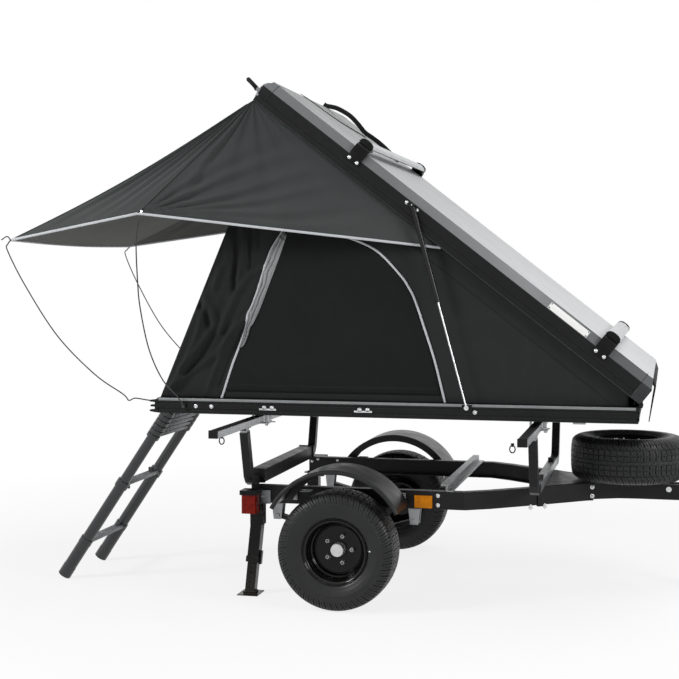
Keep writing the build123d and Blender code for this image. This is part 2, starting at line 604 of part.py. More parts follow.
fork += block((TONGUE_X - 56, TONGUE_X + 26), fork_y, (CASTER_HEAD_Z - 6, CASTER_HEAD_Z))
for y in (fork_y[0], fork_y[1] - 5):
    outline = [
        (TONGUE_X - 56, CASTER_HEAD_Z - 3), (TONGUE_X + 20, CASTER_HEAD_Z - 3),
        (wheel_x + 18, TONGUE_WHEEL_R - 14), (wheel_x - 18, TONGUE_WHEEL_R - 14),
    ]
    fork += side_plate(outline, (y, y + 5))
fork += pin_y(wheel_x, TONGUE_WHEEL_R, (fork_y[0] + 2, fork_y[1] - 2), 8)
keep("tongue_caster_fork", fork)
edge_y = TONGUE_WHEEL_WIDE / 2
caster_plane = Plane(origin=(wheel_x, TONGUE_Y, TONGUE_WHEEL_R), x_dir=(1, 0, 0), z_dir=(0, 1, 0))
caster_profile = [
    (8 + RUNNING_GAP, -edge_y), (18, -edge_y), (18, -edge_y + 6), (TONGUE_WHEEL_R - 20, -edge_y + 6),
    (TONGUE_WHEEL_R - 16, -edge_y + 2),
    (TONGUE_WHEEL_R - 4, -edge_y + 4), (TONGUE_WHEEL_R, -edge_y + 12), (TONGUE_WHEEL_R, edge_y - 12), (TONGUE_WHEEL_R - 4, edge_y - 4),
    (TONGUE_WHEEL_R - 16, edge_y - 2), (TONGUE_WHEEL_R - 20, edge_y - 6), (18, edge_y - 6), (18, edge_y), (8 + RUNNING_GAP, edge_y),
]
keep("tongue_caster_wheel", turned(caster_profile, caster_plane))

# Tent base: a grooved frame round a sandwich floor, on two runners clamped to the bars
tray_x = (TENT_REAR_X, TENT_FRONT_X)
tray_y = (-TENT_HALF, TENT_HALF)
tray = block(tray_x, tray_y, (TRAY_BOTTOM, TRAY_TOP))
tray -= block(
    (tray_x[0] + TRAY_EDGE, tray_x[1] - TRAY_EDGE), (tray_y[0] + TRAY_EDGE, tray_y[1] - TRAY_EDGE), (TRAY_BOTTOM - 1, TRAY_TOP + 1)
)
for low, high, deep in ((TRAY_BOTTOM + 14, TRAY_BOTTOM + 24, 5), (TRAY_BOTTOM + 42, TRAY_BOTTOM + 50, 5)):
    ring = block((tray_x[0] - 1, tray_x[1] + 1), (tray_y[0] - 1, tray_y[1] + 1), (low, high))
    ring -= block((tray_x[0] + deep, tray_x[1] - deep), (tray_y[0] + deep, tray_y[1] - deep), (low - 1, high + 1))
    tray -= ring
floor_x = (tray_x[0] + TRAY_EDGE, tray_x[1] - TRAY_EDGE)
floor_y = (tray_y[0] + TRAY_EDGE, tray_y[1] - TRAY_EDGE)
keep("tent_tray", tray + block(floor_x, floor_y, (TRAY_BOTTOM, TRAY_BOTTOM + TRAY_FLOOR)))
mattress_z = (TRAY_BOTTOM + TRAY_FLOOR + 0.3, TRAY_TOP - 4)
keep("mattress", block((floor_x[0] + 6, floor_x[1] - 6), (floor_y[0] + 6, floor_y[1] - 6), mattress_z))
runner_low = BAR_BOTTOM + BAR_HIGH + STRIP
for side, sign in (("right", -1), ("left", 1)):
    y = sign * RUNNER_Y
    runner = block((TENT_REAR_X + 60, TENT_FRONT_X - 60), (y - RUNNER_WIDE / 2, y + RUNNER_WIDE / 2), (runner_low, TRAY_BOTTOM))
    runner -= block((TENT_REAR_X + 59, TENT_FRONT_X - 59), (y - 14, y + 14), (runner_low + 4, TRAY_BOTTOM - 4))
    keep("tray_runners", runner)
    for end, x in zip(("rear", "front"), BAR_X):
        plate = block((x - 44, x + 44), (y - 18, y + 18), (BAR_BOTTOM - 6, BAR_BOTTOM))
        for bolt_x in (x - 33, x + 33):
            plate += rod((bolt_x, y, BAR_BOTTOM - 16), (bolt_x, y, runner_low), 5)
            plate += rod((bolt_x, y, BAR_BOTTOM - 14), (bolt_x, y, BAR_BOTTOM - 6), 8)
        keep("tray_runners", plate)

# Clamshell lid, drawn closed and opened about the front hinge
lid = block(tray_x, tray_y, (LID_BOTTOM, LID_BOTTOM + LID_FRAME))
lid -= block(
    (tray_x[0] + LID_EDGE, tray_x[1] - LID_EDGE), (tray_y[0] + LID_EDGE, tray_y[1] - LID_EDGE),
    (LID_BOTTOM - 1, LID_BOTTOM + LID_FRAME + 1),
)
ring = block((tray_x[0] - 1, tray_x[1] + 1), (tray_y[0] - 1, tray_y[1] + 1), (LID_BOTTOM + 26, LID_BOTTOM + 36))
ring -= block((tray_x[0] + 5, tray_x[1] - 5), (tray_y[0] + 5, tray_y[1] - 5), (LID_BOTTOM + 25, LID_BOTTOM + 37))
keep("lid_frame", opened(lid - ring))
mid_x = (tray_x[0] + tray_x[1]) / 2
crown = LID_BOTTOM + LID_FRAME
long_x = tray_x[1] - tray_x[0]
wide_y = 2 * TENT_HALF


def crown_block(shrink, low, high):
    """The lid's bevelled crown, smaller all round by a wall."""
    base = Pos(mid_x, 0, low) * Rectangle(long_x - 2 * shrink, wide_y - 2 * shrink)
    top = Pos(mid_x, 0, high) * Rectangle(long_x - 2 * (shrink + LID_CHAMFER), wide_y - 2 * (shrink + LID_CHAMFER))
    return loft([base, top], ruled=True)


skin = crown_block(0, crown, crown + LID_CROWN) - crown_block(LID_SKIN, crown - 0.01, crown + LID_CROWN - LID_SKIN)
keep("lid_skin", opened(skin))
for end, back in zip(("front", "rear"), LID_BAR_BACK):
    x = TENT_FRONT_X - back
    up = LID_BOTTOM + LID_BAR_UP
    profile = [(x - 34, up + 8), (x - 26, up + 20), (x, up + 26), (x + 26, up + 20), (x + 34, up + 8), (x + 26, up + 2), (x - 26, up + 2)]
    keep("lid_bars", opened(side_plate(profile, (-TENT_HALF + 22, TENT_HALF - 22))))
    y0 = -TENT_HALF
    clamp_line = [(y0, crown - 28), (y0 - 8, crown - 28), (y0 - 8, up - 6), (y0 + 10, up + 30), (y0 + 60, up + 30)]
    clamp_line += [(y0 + 60, up - 3), (y0 + 30, up - 3), (y0 + 14, up - 28), (y0, crown + 1)]
    clamp = cross_plate(clamp_line, (x - 37, x + 37))
    clamp -= side_plate(profile, (y0 + 21.9, y0 + 80))
    keep_both("lid_clamps", opened(clamp))

# Hinges at the front: leaves with knuckles about a pin
lower, upper = None, None
for y in HINGE_Y:
    low_leaf = block((TENT_FRONT_X, TENT_FRONT_X + 3), (y - 45, y + 45), (TRAY_BOTTOM + 6, TRAY_TOP - 2))
    web = block((TENT_FRONT_X, HINGE_X), (y - 15, y + 15), (HINGE_Z - KNUCKLE_R, HINGE_Z - 4))
    low_knuckle = pin_y(HINGE_X, HINGE_Z, (y - 15, y + 15), KNUCKLE_R)
    pin = pin_y(HINGE_X, HINGE_Z, (y - 45, y + 45), PIN_R)
    piece = low_leaf + web + low_knuckle + pin
    lower = piece if lower is None else lower + piece
    high_leaf = block((TENT_FRONT_X, TENT_FRONT_X + 3), (y - 45, y + 45), (LID_BOTTOM + 2, LID_BOTTOM + LID_FRAME - 4))
    for low_y, high_y in ((y - 45, y - 15.4), (y + 15.4, y + 45)):
        knuckle = pin_y(HINGE_X, HINGE_Z, (low_y, high_y), KNUCKLE_R)
        high_leaf += knuckle + block((TENT_FRONT_X, HINGE_X), (low_y, high_y), (HINGE_Z + 4, HINGE_Z + KNUCKLE_R))
    high_leaf -= pin_y(HINGE_X, HINGE_Z, (y - 60, y + 60), PIN_R + RUNNING_GAP)
    upper = high_leaf if upper is None else upper + high_leaf
keep("tray_fittings", lower)
keep("lid_fittings", opened(upper))

# Toothed castings at the tray's rear corners
teeth = [
    (0, 1), (12, 1), (38, 6), (38, 13), (14, 15), (14, 26), (34, 27), (34, 35), (14, 36), (14, 47), (38, 49), (38, 56), (14, 59), (0, 65),
]
casting = side_plate([(TENT_REAR_X - back, TRAY_BOTTOM + high) for back, high in teeth], (-TENT_HALF + 3, -TENT_HALF + 34))
keep_both("tray_fittings", casting)

# End plate across the lid's rear with a latch hook near each corner
end_back = TENT_REAR_X - END_PLATE
end_plate = block((end_back, TENT_REAR_X), (-TENT_HALF + 30, TENT_HALF - 30), (LID_BOTTOM + 1, LID_BOTTOM + LID_FRAME - 1))
hook_side = [(0, 34), (40, 42), (84, 48), (90, 56), (84, 64), (42, 58), (0, 54)]
hook_points = [(end_back + 1 - back, LID_BOTTOM + high) for back, high in hook_side]
for y in (-LATCH_Y, LATCH_Y):
    end_plate += side_plate(hook_points, (y - 9, y + 9))
keep("lid_end_plate", opened(end_plate))

# Gas struts: barrels hang from the lid, rods reach down to the tray
lid_spot = (TENT_FRONT_X - STRUT_LID_BACK, LID_BOTTOM + STRUT_LID_UP)
base = Vector(STRUT_BASE[0], -STRUT_Y, STRUT_BASE[1])
head = Vector(opened_point(*lid_spot)[0], -STRUT_Y, opened_point(*lid_spot)[1])
down = (base - head).normalized()
collar = head + down * BARREL_LONG
barrel = rod(tuple(head + down * 14), tuple(collar), BARREL_R)
barrel -= rod(tuple(head + down * 30), tuple(collar - down * 20), BARREL_R - BARREL_WALL)
barrel -= rod(tuple(collar - down * 21), tuple(collar + down), ROD_R + 0.3)
barrel += rod(tuple(head), tuple(head + down * 16), 6)
barrel += pin_y(head.X, head.Z, (-STRUT_Y - 6, -STRUT_Y + 6), 10)
barrel -= pin_y(head.X, head.Z, (-STRUT_Y - 7, -STRUT_Y + 7), 4 + RUNNING_GAP)
keep_pair("strut_barrel", barrel)
strut_rod = rod(tuple(collar - down * 60), tuple(base - down * 8), ROD_R)
strut_rod += pin_y(base.X, base.Z, (-STRUT_Y - 6, -STRUT_Y + 6), 10)
keep_pair("strut_rod", strut_rod)
base_stud = block((base.X - 22, base.X + 22), (-TENT_HALF - 4, -TENT_HALF), (base.Z - 12, base.Z + 12))
base_stud += pin_y(base.X, base.Z, (-STRUT_Y + 6.5, -TENT_HALF), 7)
keep_both("tray_fittings", base_stud)
lid_stud = pin_y(head.X, head.Z, (-STRUT_Y - 8, -TENT_HALF), 4)
lid_stud += pin_y(head.X, head.Z, (-STRUT_Y - 9.5, -STRUT_Y - 6.5), 7) + pin_y(head.X, head.Z, (-STRUT_Y + 6.5, -TENT_HALF), 9)
lid_stud += opened(block((lid_spot[0] - 22, lid_spot[0] + 22), (-TENT_HALF - 4, -TENT_HALF), (lid_spot[1] - 14, lid_spot[1] + 7)))
keep_both("lid_fittings", lid_stud)

# Tent walls: a wedge of cloth open to the tray below and the lid above
lid_rear = opened_point(TENT_REAR_X + WALL_TOP_IN, LID_BOTTOM - CLOTH_GAP)
lid_front = opened_point(TENT_FRONT_X - 60, LID_BOTTOM - CLOTH_GAP)
wall_low = TRAY_TOP + CLOTH_GAP
wedge_side = [(TENT_REAR_X + 8, wall_low), lid_rear, lid_front, (TENT_FRONT_X - 40, wall_low)]
wedge = side_plate(wedge_side, (-WALL_HALF, WALL_HALF))
inner_rear = (lid_rear[0] + CLOTH + 4, lid_rear[1] + 40)
room_side = [(TENT_REAR_X + 8 + CLOTH, wall_low - 40), inner_rear, (lid_front[0] - 10, lid_front[1] + 40), (TENT_FRONT_X - 52, wall_low - 40)]
room = side_plate(room_side, (-WALL_HALF + CLOTH, WALL_HALF - CLOTH))
keep("tent_walls", wedge - room)


def faceted(corners, faces):
    """A closed solid from lettered corner points and the letters round each face."""
    made = []
    for face in faces:
        made.append(Face(Wire.make_polygon([Vector(*corners[letter]) for letter in face], close=True)))
    return Solid(Shell(made))


def by_tent(behind, out, above):
    """A point on the right, from the tray's rear end, the tent's side and the tray's top."""
    return (TENT_REAR_X - behind, -TENT_HALF - out, TRAY_TOP + above)


# Fly: a sloping sheet from the lid's rear edges down to the awning hem
fly_rear = opened_point(TENT_REAR_X + 1, LID_BOTTOM - CLOTH_GAP)
fly_end = opened_point(TENT_FRONT_X - FLY_END_BACK, LID_BOTTOM - CLOTH_GAP)
top = [
    (fly_rear[0], -TENT_HALF + FLY_TOP_IN, fly_rear[1]), by_tent(*FLY_TIP), by_tent(*FLY_SIDE),
    (fly_end[0], -TENT_HALF + FLY_END_IN, fly_end[1]),
]
top += [(x, -y, z) for x, y, z in top]
low = []
for x, y, z in top:
    inward = Vector(TENT_REAR_X + 542.5 - x, -y * 0.8, TRAY_TOP + 595 - z).normalized() * CLOTH
    low.append((x + inward.X, y + inward.Y, z + inward.Z))
corners = dict(zip("abcdefghABCDEFGH", top + low))
faces = "abfe acb adc efg egh AEF AFB ABC ACD EGF EHG".split()
for a, b in zip("dcbfghea", "cbfghead"):
    faces += [a + b + b.upper(), a + b.upper() + a.upper()]
keep("fly", faceted(corners, faces))

# Awning rods: bent spring-steel rods from the tray to the fly's corners
rear_path = [
    (4, -54.5, -23), (127.5, -52.5, -10), (161.5, -50.5, -24), (183.5, -48.5, 10), (317.5, -34.5, 98), (488.5, -12.5, 272),
    (632.5, 11.5, 499), (722.5, 29.5, 677), (691.5, 40.5, 707), (707.5, 43.5, 731), (736.5, 43.5, 709),
]
side_path = [
    (-130.5, 16, -34), (-106.5, 25.5, 6), (-45.5, 59.5, 90), (-2.5, 105.5, 225), (15.5, 157.5, 401), (15.5, 187.5, 524),
    (9.5, 215.5, 695), (-6.5, 220.5, 793),
]
rear_bends = (8, 8, 8, 60, 60, 60, 12, 6, 6)
side_bends = (40, 60, 60, 60, 60, 60)
for path, bends in ((rear_path, rear_bends), (side_path, side_bends)):
    path = [by_tent(*spot) for spot in path]
    line = FilletPolyline(*path, radius=bends)
    solid = sweep(Plane(origin=path[0], z_dir=line % 0) * Circle(AWNING_ROD_R), path=line)
    x, y, z = path[0]
    if bends is rear_bends:
        solid += block((TENT_REAR_X - 24, TENT_REAR_X), (y - 12, y + 12), (z - 12, z + 12))
    else:
        solid += block((x - 20, x + 20), (-TENT_HALF - 24, -TENT_HALF), (z - 19, z + 9))
    keep_both("awning_rods", solid)

# Telescopic ladder hooked on the tray's rear edge
climb = Vector(LADDER_LEAN[0], 0, LADDER_LEAN[1]).normalized()


def on_ladder(z, y):
    """The point of the ladder's leg line at this height."""
    return (LADDER_END[0] - (LADDER_END[1] - z) * climb.X / climb.Z, y, z)


def tread(z):
    """A flat step between the legs at this height."""
    x = on_ladder(z, 0)[0]
    return block((x - TREAD_HALF, x + TREAD_HALF), (LADDER_Y - LADDER_HALF, LADDER_Y + LADDER_HALF), (z - TREAD_THICK / 2, z + TREAD_THICK / 2))


upper, lower = tread(TREAD_Z[1]), tread(TREAD_Z[0])
for z in STACK_Z:
    upper += tread(z)
bore_r = LADDER_MID_R + LADDER_GAP
foot_r = bore_r + LADDER_WALL
foot_top = TREAD_Z[0] + 16
boot_low = BOOT_R * climb.X
for side in (-1, 1):
    y = LADDER_Y + side * LADDER_HALF
    upper += rod(on_ladder(TREAD_Z[1], y), on_ladder(LADDER_END[1], y), LADDER_UPPER_R)
    upper += rod(on_ladder(foot_top - 36, y), on_ladder(TREAD_Z[1], y), LADDER_MID_R)
    upper += rod(on_ladder(TREAD_Z[1] - 15, y), on_ladder(TREAD_Z[1] + 15, y), COLLAR_R)
    for z in STACK_Z:
        upper += rod(on_ladder(z - 8, y), on_ladder(z + 8, y), COLLAR_R)
    upper += block((LADDER_END[0] - 13, TENT_REAR_X), (y - 16, y + 16), (LADDER_END[1] - 12, LADDER_END[1] + 12))
    lower += rod(on_ladder(boot_low + 30, y), on_ladder(foot_top, y), foot_r)
    lower += rod(on_ladder(boot_low, y), on_ladder(boot_low + 44, y), BOOT_R)
    lower += rod(on_ladder(foot_top - 26, y), on_ladder(foot_top, y), COLLAR_R)
    lower -= rod(on_ladder(boot_low + 12, y), on_ladder(foot_top + 60, y), bore_r)
keep("ladder", upper)
keep("ladder_foot_section", lower)

# Move everything so that X = 0 is the middle of the whole length
boxes = [solid.bounding_box() for solids in PARTS.values() for solid in solids]
low_x = min(box.min.X for box in boxes)
high_x = max(box.max.X for box in boxes)
SHIFT = -(low_x + high_x) / 2
print("shift along X", round(SHIFT, 3), "length", round(high_x - low_x, 1))
os.makedirs("parts", exist_ok=True)
for name, solids in PARTS.items():
    shape = solids[0] if len(solids) == 1 else Compound(solids)
    export_step(Pos(SHIFT, 0, 0) * shape, "parts/" + name + ".step")
print(len(PARTS), "pieces written")
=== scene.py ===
import bpy
import bmesh
import json
import math
from mathutils import Matrix, Vector, noise

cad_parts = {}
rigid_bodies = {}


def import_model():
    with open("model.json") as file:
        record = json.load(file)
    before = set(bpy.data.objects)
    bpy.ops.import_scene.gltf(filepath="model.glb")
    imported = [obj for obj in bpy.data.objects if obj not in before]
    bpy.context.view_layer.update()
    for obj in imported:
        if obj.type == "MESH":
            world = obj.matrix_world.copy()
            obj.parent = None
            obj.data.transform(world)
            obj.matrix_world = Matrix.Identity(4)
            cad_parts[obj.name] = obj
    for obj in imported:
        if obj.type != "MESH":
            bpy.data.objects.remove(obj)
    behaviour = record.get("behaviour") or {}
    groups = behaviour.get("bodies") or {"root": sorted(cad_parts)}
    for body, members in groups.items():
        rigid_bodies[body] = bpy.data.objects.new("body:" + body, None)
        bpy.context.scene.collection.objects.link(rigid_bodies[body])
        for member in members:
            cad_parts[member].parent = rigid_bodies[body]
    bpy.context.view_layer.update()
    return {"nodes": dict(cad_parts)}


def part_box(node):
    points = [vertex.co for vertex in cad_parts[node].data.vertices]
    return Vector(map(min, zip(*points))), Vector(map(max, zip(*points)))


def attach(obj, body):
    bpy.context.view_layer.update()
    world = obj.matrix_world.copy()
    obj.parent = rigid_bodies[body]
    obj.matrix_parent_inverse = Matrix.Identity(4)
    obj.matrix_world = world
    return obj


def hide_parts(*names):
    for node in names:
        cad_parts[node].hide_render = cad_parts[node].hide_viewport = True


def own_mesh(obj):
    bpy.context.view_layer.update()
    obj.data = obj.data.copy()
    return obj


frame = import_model()

# Places are written in millimetres from the axle's middle on the ground, as the photograph was measured.
AXLE_X = (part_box("axle")[0][0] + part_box("axle")[1][0]) / 2
LID_ANGLE = math.radians(38)
HINGE = (1282, 909)
TENT_FRONT = 1272
TENT_REAR = -842.5
TENT_HALF = 674.5
CLOTH_FOOT = 905.6
LID_BOTTOM = 913
LID_BAR_BACKS = (257, 1591)
WHEEL_Y = 690
TYRE_R = 260.5
LUG_RADIUS = 60.3
SPARE_AT = (1212, 0, 614.5)
RAIL_FACE = 518.2
RAIL_INSIDE = 513
CAMERA_AT = (1394.7, -6483.0, 1452.4)
CAMERA_LENS = 72.99
CAMERA_TURNS = (13.502, -2.660, -0.030)


def pt(x, y, z):
    """A point given in millimetres from the axle's middle on the ground."""
    return Vector((AXLE_X + x / 1000, y / 1000, z / 1000))


def lid_pt(back, y, up):
    """A point of the shut lid, by its distance back from the front and height above its bottom, as it stands open."""
    dx, dz = TENT_FRONT - back - HINGE[0], LID_BOTTOM + up - HINGE[1]
    c, s = math.cos(LID_ANGLE), math.sin(LID_ANGLE)
    return pt(HINGE[0] + dx * c + dz * s, y, HINGE[1] - dx * s + dz * c)


LID_UP = Vector((math.sin(LID_ANGLE), 0, math.cos(LID_ANGLE)))
LID_REARWARD = Vector((-math.cos(LID_ANGLE), 0, math.sin(LID_ANGLE)))


def srgb(*levels):
    """A colour written as 0 to 255 levels, as the shader wants it."""
    out = []
    for level in levels:
        v = level / 255
        out.append(v / 12.92 if v <= 0.04045 else ((v + 0.055) / 1.055) ** 2.4)
    return out


# Camera at the photograph's viewpoint
camera_data = bpy.data.cameras.new("camera")
camera_data.sensor_fit = "HORIZONTAL"
camera_data.sensor_width = 36
camera_data.lens = CAMERA_LENS
camera_data.clip_end = 200
camera = bpy.data.objects.new("camera", camera_data)
bpy.context.scene.collection.objects.link(camera)
yaw, pitch, roll = (math.radians(angle) for angle in CAMERA_TURNS)
forward = Vector((-math.sin(yaw) * math.cos(pitch), math.cos(yaw) * math.cos(pitch), math.sin(pitch)))
level_right = Vector((math.cos(yaw), math.sin(yaw), 0))
level_up = level_right.cross(forward)
right = level_right * math.cos(roll) + level_up * math.sin(roll)
up = level_up * math.cos(roll) - level_right * math.sin(roll)
turn = Matrix((right, up, -forward)).transposed().to_4x4()
camera.matrix_world = Matrix.Translation(pt(*CAMERA_AT)) @ turn
bpy.context.scene.camera = camera
bpy.context.scene.view_settings.view_transform = "Standard"


# ---------------------------------------------------------------- materials
def new_material(name):
    material = bpy.data.materials.new(name)
    material.use_nodes = True
    tree = material.node_tree
    shader = next(n for n in tree.nodes if n.type == "BSDF_PRINCIPLED")
    return material, tree, shader


def node(tree, kind, **values):
    made = tree.nodes.new(kind)
    for key, value in values.items():
        if key in made.inputs:
            made.inputs[key].default_value = value
        else:
            setattr(made, key, value)
    return made


def fed(tree, kind, *sources, **values):
    """A node whose first inputs are linked to these sockets."""
    made = node(tree, kind, **values)
    for source, socket in zip(sources, made.inputs):
        tree.links.new(source, socket)
    return made


def noise_node(tree, place, scale, detail=4.0):
    return fed(tree, "ShaderNodeTexNoise", place, Scale=scale, Detail=detail, Roughness=0.55).outputs["Fac"]


def ramp(tree, value, low, high, start=0.3, end=0.7):
    made = node(tree, "ShaderNodeMapRange")
    for key, number in (("From Min", start), ("From Max", end), ("To Min", low), ("To Max", high)):
        made.inputs[key].default_value = number
    tree.links.new(value, made.inputs["Value"])
    return made.outputs["Result"]


def mixed(tree, factor, a, b, blend="MIX"):
    made = tree.nodes.new("ShaderNodeMix")
    made.data_type = "RGBA"
    made.blend_type = blend
    for socket, value in ((made.inputs[0], factor), (made.inputs[6], a), (made.inputs[7], b)):
        if hasattr(value, "links"):
            tree.links.new(value, socket)
        elif hasattr(value, "__len__"):
            socket.default_value = [*value, 1.0]
        else:
            socket.default_value = value
    return made.outputs[2]


def surface(name, colour, rough, metal=0.0, vary=0.15, blotch=5.0, grain=500.0, bump=0.1, depth=0.0004,
            edge_wear_and_highlight=None, dust=None, brushed=None, spec=0.5):
    """A painted, plated or moulded surface: blotchy colour, fine grain, edges in another colour that is partly wear
    and partly a painted highlight, and dust that settles low down.
    """
    material, tree, shader = new_material(name)
    place = tree.nodes.new("ShaderNodeTexCoord").outputs["Object"]
    patches = noise_node(tree, place, blotch)
    dark, light = [c * (1 - vary) for c in colour], [c * (1 + vary) for c in colour]
    tint = mixed(tree, ramp(tree, patches, 0, 1), dark, light)
    roughness = ramp(tree, noise_node(tree, place, blotch * 4), max(rough - 0.07, 0.03), min(rough + 0.07, 1))
    fine_place = place
    if brushed:
        fine_place = fed(tree, "ShaderNodeMapping", place, Scale=brushed).outputs["Vector"]
    fine = noise_node(tree, fine_place, grain, 2.0)
    relief = node(tree, "ShaderNodeBump", Strength=bump, Distance=depth)
    tree.links.new(fine, relief.inputs["Height"])
    # Edges take another colour: partly wear, partly a painted highlight along them.
    if edge_wear_and_highlight:
        soft = node(tree, "ShaderNodeBevel", samples=4, Radius=0.0025)
        plain = tree.nodes.new("ShaderNodeNewGeometry")
        normals = soft.outputs["Normal"], plain.outputs["Normal"]
        dot = fed(tree, "ShaderNodeVectorMath", *normals, operation="DOT_PRODUCT")
        edge = ramp(tree, dot.outputs["Value"], 1, 0, 0.86, 0.99)
        chips_and_glints = ramp(tree, noise_node(tree, place, 60), 0.25, 1, 0.35, 0.6)
        tint = mixed(tree, fed(tree, "ShaderNodeMath", edge, chips_and_glints, operation="MULTIPLY").outputs[0], tint, edge_wear_and_highlight)
        tree.links.new(soft.outputs["Normal"], relief.inputs["Normal"])
    if dust:
        low = ramp(tree, fed(tree, "ShaderNodeSeparateXYZ", place).outputs["Z"], 0.35, 0.0, 0.0, dust[1])
        tint = mixed(tree, fed(tree, "ShaderNodeMath", low, patches, operation="MULTIPLY").outputs[0], tint, dust[0])
    tree.links.new(tint, shader.inputs["Base Color"])
    tree.links.new(roughness, shader.inputs["Roughness"])
    tree.links.new(relief.outputs["Normal"], shader.inputs["Normal"])
    shader.inputs["Metallic"].default_value = metal
    shader.inputs["Specular IOR Level"].default_value = spec
    return material


def cloth(name, colour, vary=0.12, thread=0.0011, bump=0.35, sheen=0.12, rough=0.85, fade=None):
    """Canvas: a plain weave of fine threads, with uneven dye and a slight sheen."""
    material, tree, shader = new_material(name)
    place = tree.nodes.new("ShaderNodeTexCoord").outputs["Object"]
    tint = mixed(tree, ramp(tree, noise_node(tree, place, 3.5), 0, 1), [c * (1 - vary) for c in colour],
        [c * (1 + vary) for c in colour])
    # Another colour taken in along one axis: on the fly it is painted shade, darker towards the top; on the wall the
    # cloth turns lighter towards the front.
    if fade:
        reach = fed(tree, "ShaderNodeSeparateXYZ", place).outputs[fade[0]]
        tint = mixed(tree, ramp(tree, reach, 0, 1, fade[1], fade[2]), tint, fade[3])
    weave = None
    for axis in "XYZ":
        wave = fed(tree, "ShaderNodeTexWave", place, wave_type="BANDS", bands_direction=axis, Scale=0.314 / thread,
            Distortion=0.6).outputs["Fac"]
        weave = fed(tree, "ShaderNodeMath", weave, wave, operation="MAXIMUM").outputs[0] if weave else wave
    # The weave's low places between the threads are darkened: painted shade in the gaps.
    tint = mixed(tree, ramp(tree, weave, 0.22, 0, 0.2, 1.0), tint, [c * 0.55 for c in colour])
    slub = noise_node(tree, place, 160, 3.0)
    relief = node(tree, "ShaderNodeBump", Strength=bump, Distance=0.0004)
    tree.links.new(weave, relief.inputs["Height"])
    soft = node(tree, "ShaderNodeBump", Strength=0.25, Distance=0.001)
    tree.links.new(slub, soft.inputs["Height"])
    tree.links.new(relief.outputs["Normal"], soft.inputs["Normal"])
    tree.links.new(tint, shader.inputs["Base Color"])
    tree.links.new(soft.outputs["Normal"], shader.inputs["Normal"])
    shader.inputs["Roughness"].default_value = rough
    shader.inputs["Sheen Weight"].default_value = sheen
    shader.inputs["Sheen Roughness"].default_value = 0.6
    shader.inputs["Specular IOR Level"].default_value = 0.12
    return material


# Edge colour of the black frame: partly wear, partly a painted highlight.
EDGE = srgb(92, 94, 97)
DUST = srgb(96, 90, 80)
FRAME_BLACK = surface("frame_black", srgb(20, 20, 21), 0.38, vary=0.25, grain=900, bump=0.12, edge_wear_and_highlight=EDGE,
    dust=(DUST, 0.4), spec=0.2)
JACK_BLACK = surface("jack_black", srgb(12, 12, 13), 0.24, vary=0.25, grain=700, bump=0.1, edge_wear_and_highlight=EDGE,
    dust=(DUST, 0.25), spec=0.15)
FENDER_BLACK = surface("fender_black", srgb(23, 24, 25), 0.34, vary=0.08, blotch=3, grain=1300, bump=0.02,
    dust=(DUST, 0.3), spec=0.3)
ZINC = surface("zinc_plate", srgb(150, 152, 154), 0.4, metal=0.8, vary=0.25, blotch=16, grain=300, bump=0.15,
    edge_wear_and_highlight=srgb(200, 201, 203), dust=(DUST, 0.5))
SILVER_BAR = surface("anodised_silver", srgb(178, 180, 182), 0.36, metal=0.75, vary=0.08, blotch=8, grain=160,
    bump=0.1, brushed=(4, 0.06, 4), edge_wear_and_highlight=srgb(225, 225, 226))
BRIGHT = surface("bright_plate", srgb(205, 206, 208), 0.25, metal=0.9, vary=0.1, blotch=40, grain=500, bump=0.06)
RUBBER = surface("strip_rubber", srgb(20, 20, 20), 0.72, vary=0.2, grain=800, bump=0.3, spec=0.2)
PLASTIC = surface("clamp_plastic", srgb(11, 11, 12), 0.38, vary=0.2, grain=1300, bump=0.3, depth=0.0003,
    edge_wear_and_highlight=srgb(36, 36, 38), spec=0.14)
RIM_BLACK = surface("rim_gloss_black", srgb(9, 9, 9), 0.1, vary=0.2, blotch=9, grain=900, bump=0.02,
    edge_wear_and_highlight=srgb(60, 60, 62), spec=0.2, dust=(DUST, 0.15))
HUB_METAL = surface("hub_plate", srgb(200, 200, 201), 0.32, metal=0.6, vary=0.1, blotch=30, grain=600, bump=0.08,
    edge_wear_and_highlight=srgb(235, 235, 235))
LENS_RED = surface("lens_red", srgb(122, 20, 6), 0.2, vary=0.3, blotch=60, grain=260, bump=0.4, depth=0.001, spec=0.12)
LENS_AMBER = surface("lens_amber", srgb(204, 122, 4), 0.2, vary=0.2, blotch=60, grain=260, bump=0.4, depth=0.001,
    spec=0.12)
PROFILE_BLACK = surface("profile_black", srgb(14, 15, 15), 0.36, vary=0.16, blotch=7, grain=1400, bump=0.25,
    depth=0.0003, edge_wear_and_highlight=srgb(64, 66, 68), spec=0.2)
LID_SKIN = surface("lid_sheet", srgb(244, 245, 246), 0.42, metal=0.2, vary=0.03, blotch=1.6, grain=900, bump=0.18,
    depth=0.0003, edge_wear_and_highlight=srgb(205, 206, 207), spec=0.4)
CASTING = surface("casting_grey", srgb(128, 131, 132), 0.42, metal=0.4, vary=0.1, blotch=12, grain=700, bump=0.25,
    edge_wear_and_highlight=srgb(190, 191, 193))
DARK_CASTING = surface("casting_dark", srgb(48, 50, 51), 0.42, metal=0.2, vary=0.12, blotch=14, grain=900, bump=0.3,
    edge_wear_and_highlight=srgb(90, 92, 94), spec=0.25)
ROD_STEEL = surface("rod_steel", srgb(60, 60, 62), 0.3, metal=0.7, vary=0.25, blotch=14, grain=600, bump=0.1)
STRUT_BLACK = surface("strut_black", srgb(16, 16, 17), 0.25, vary=0.15, blotch=14, grain=900, bump=0.05,
    edge_wear_and_highlight=srgb(70, 72, 74), spec=0.3)
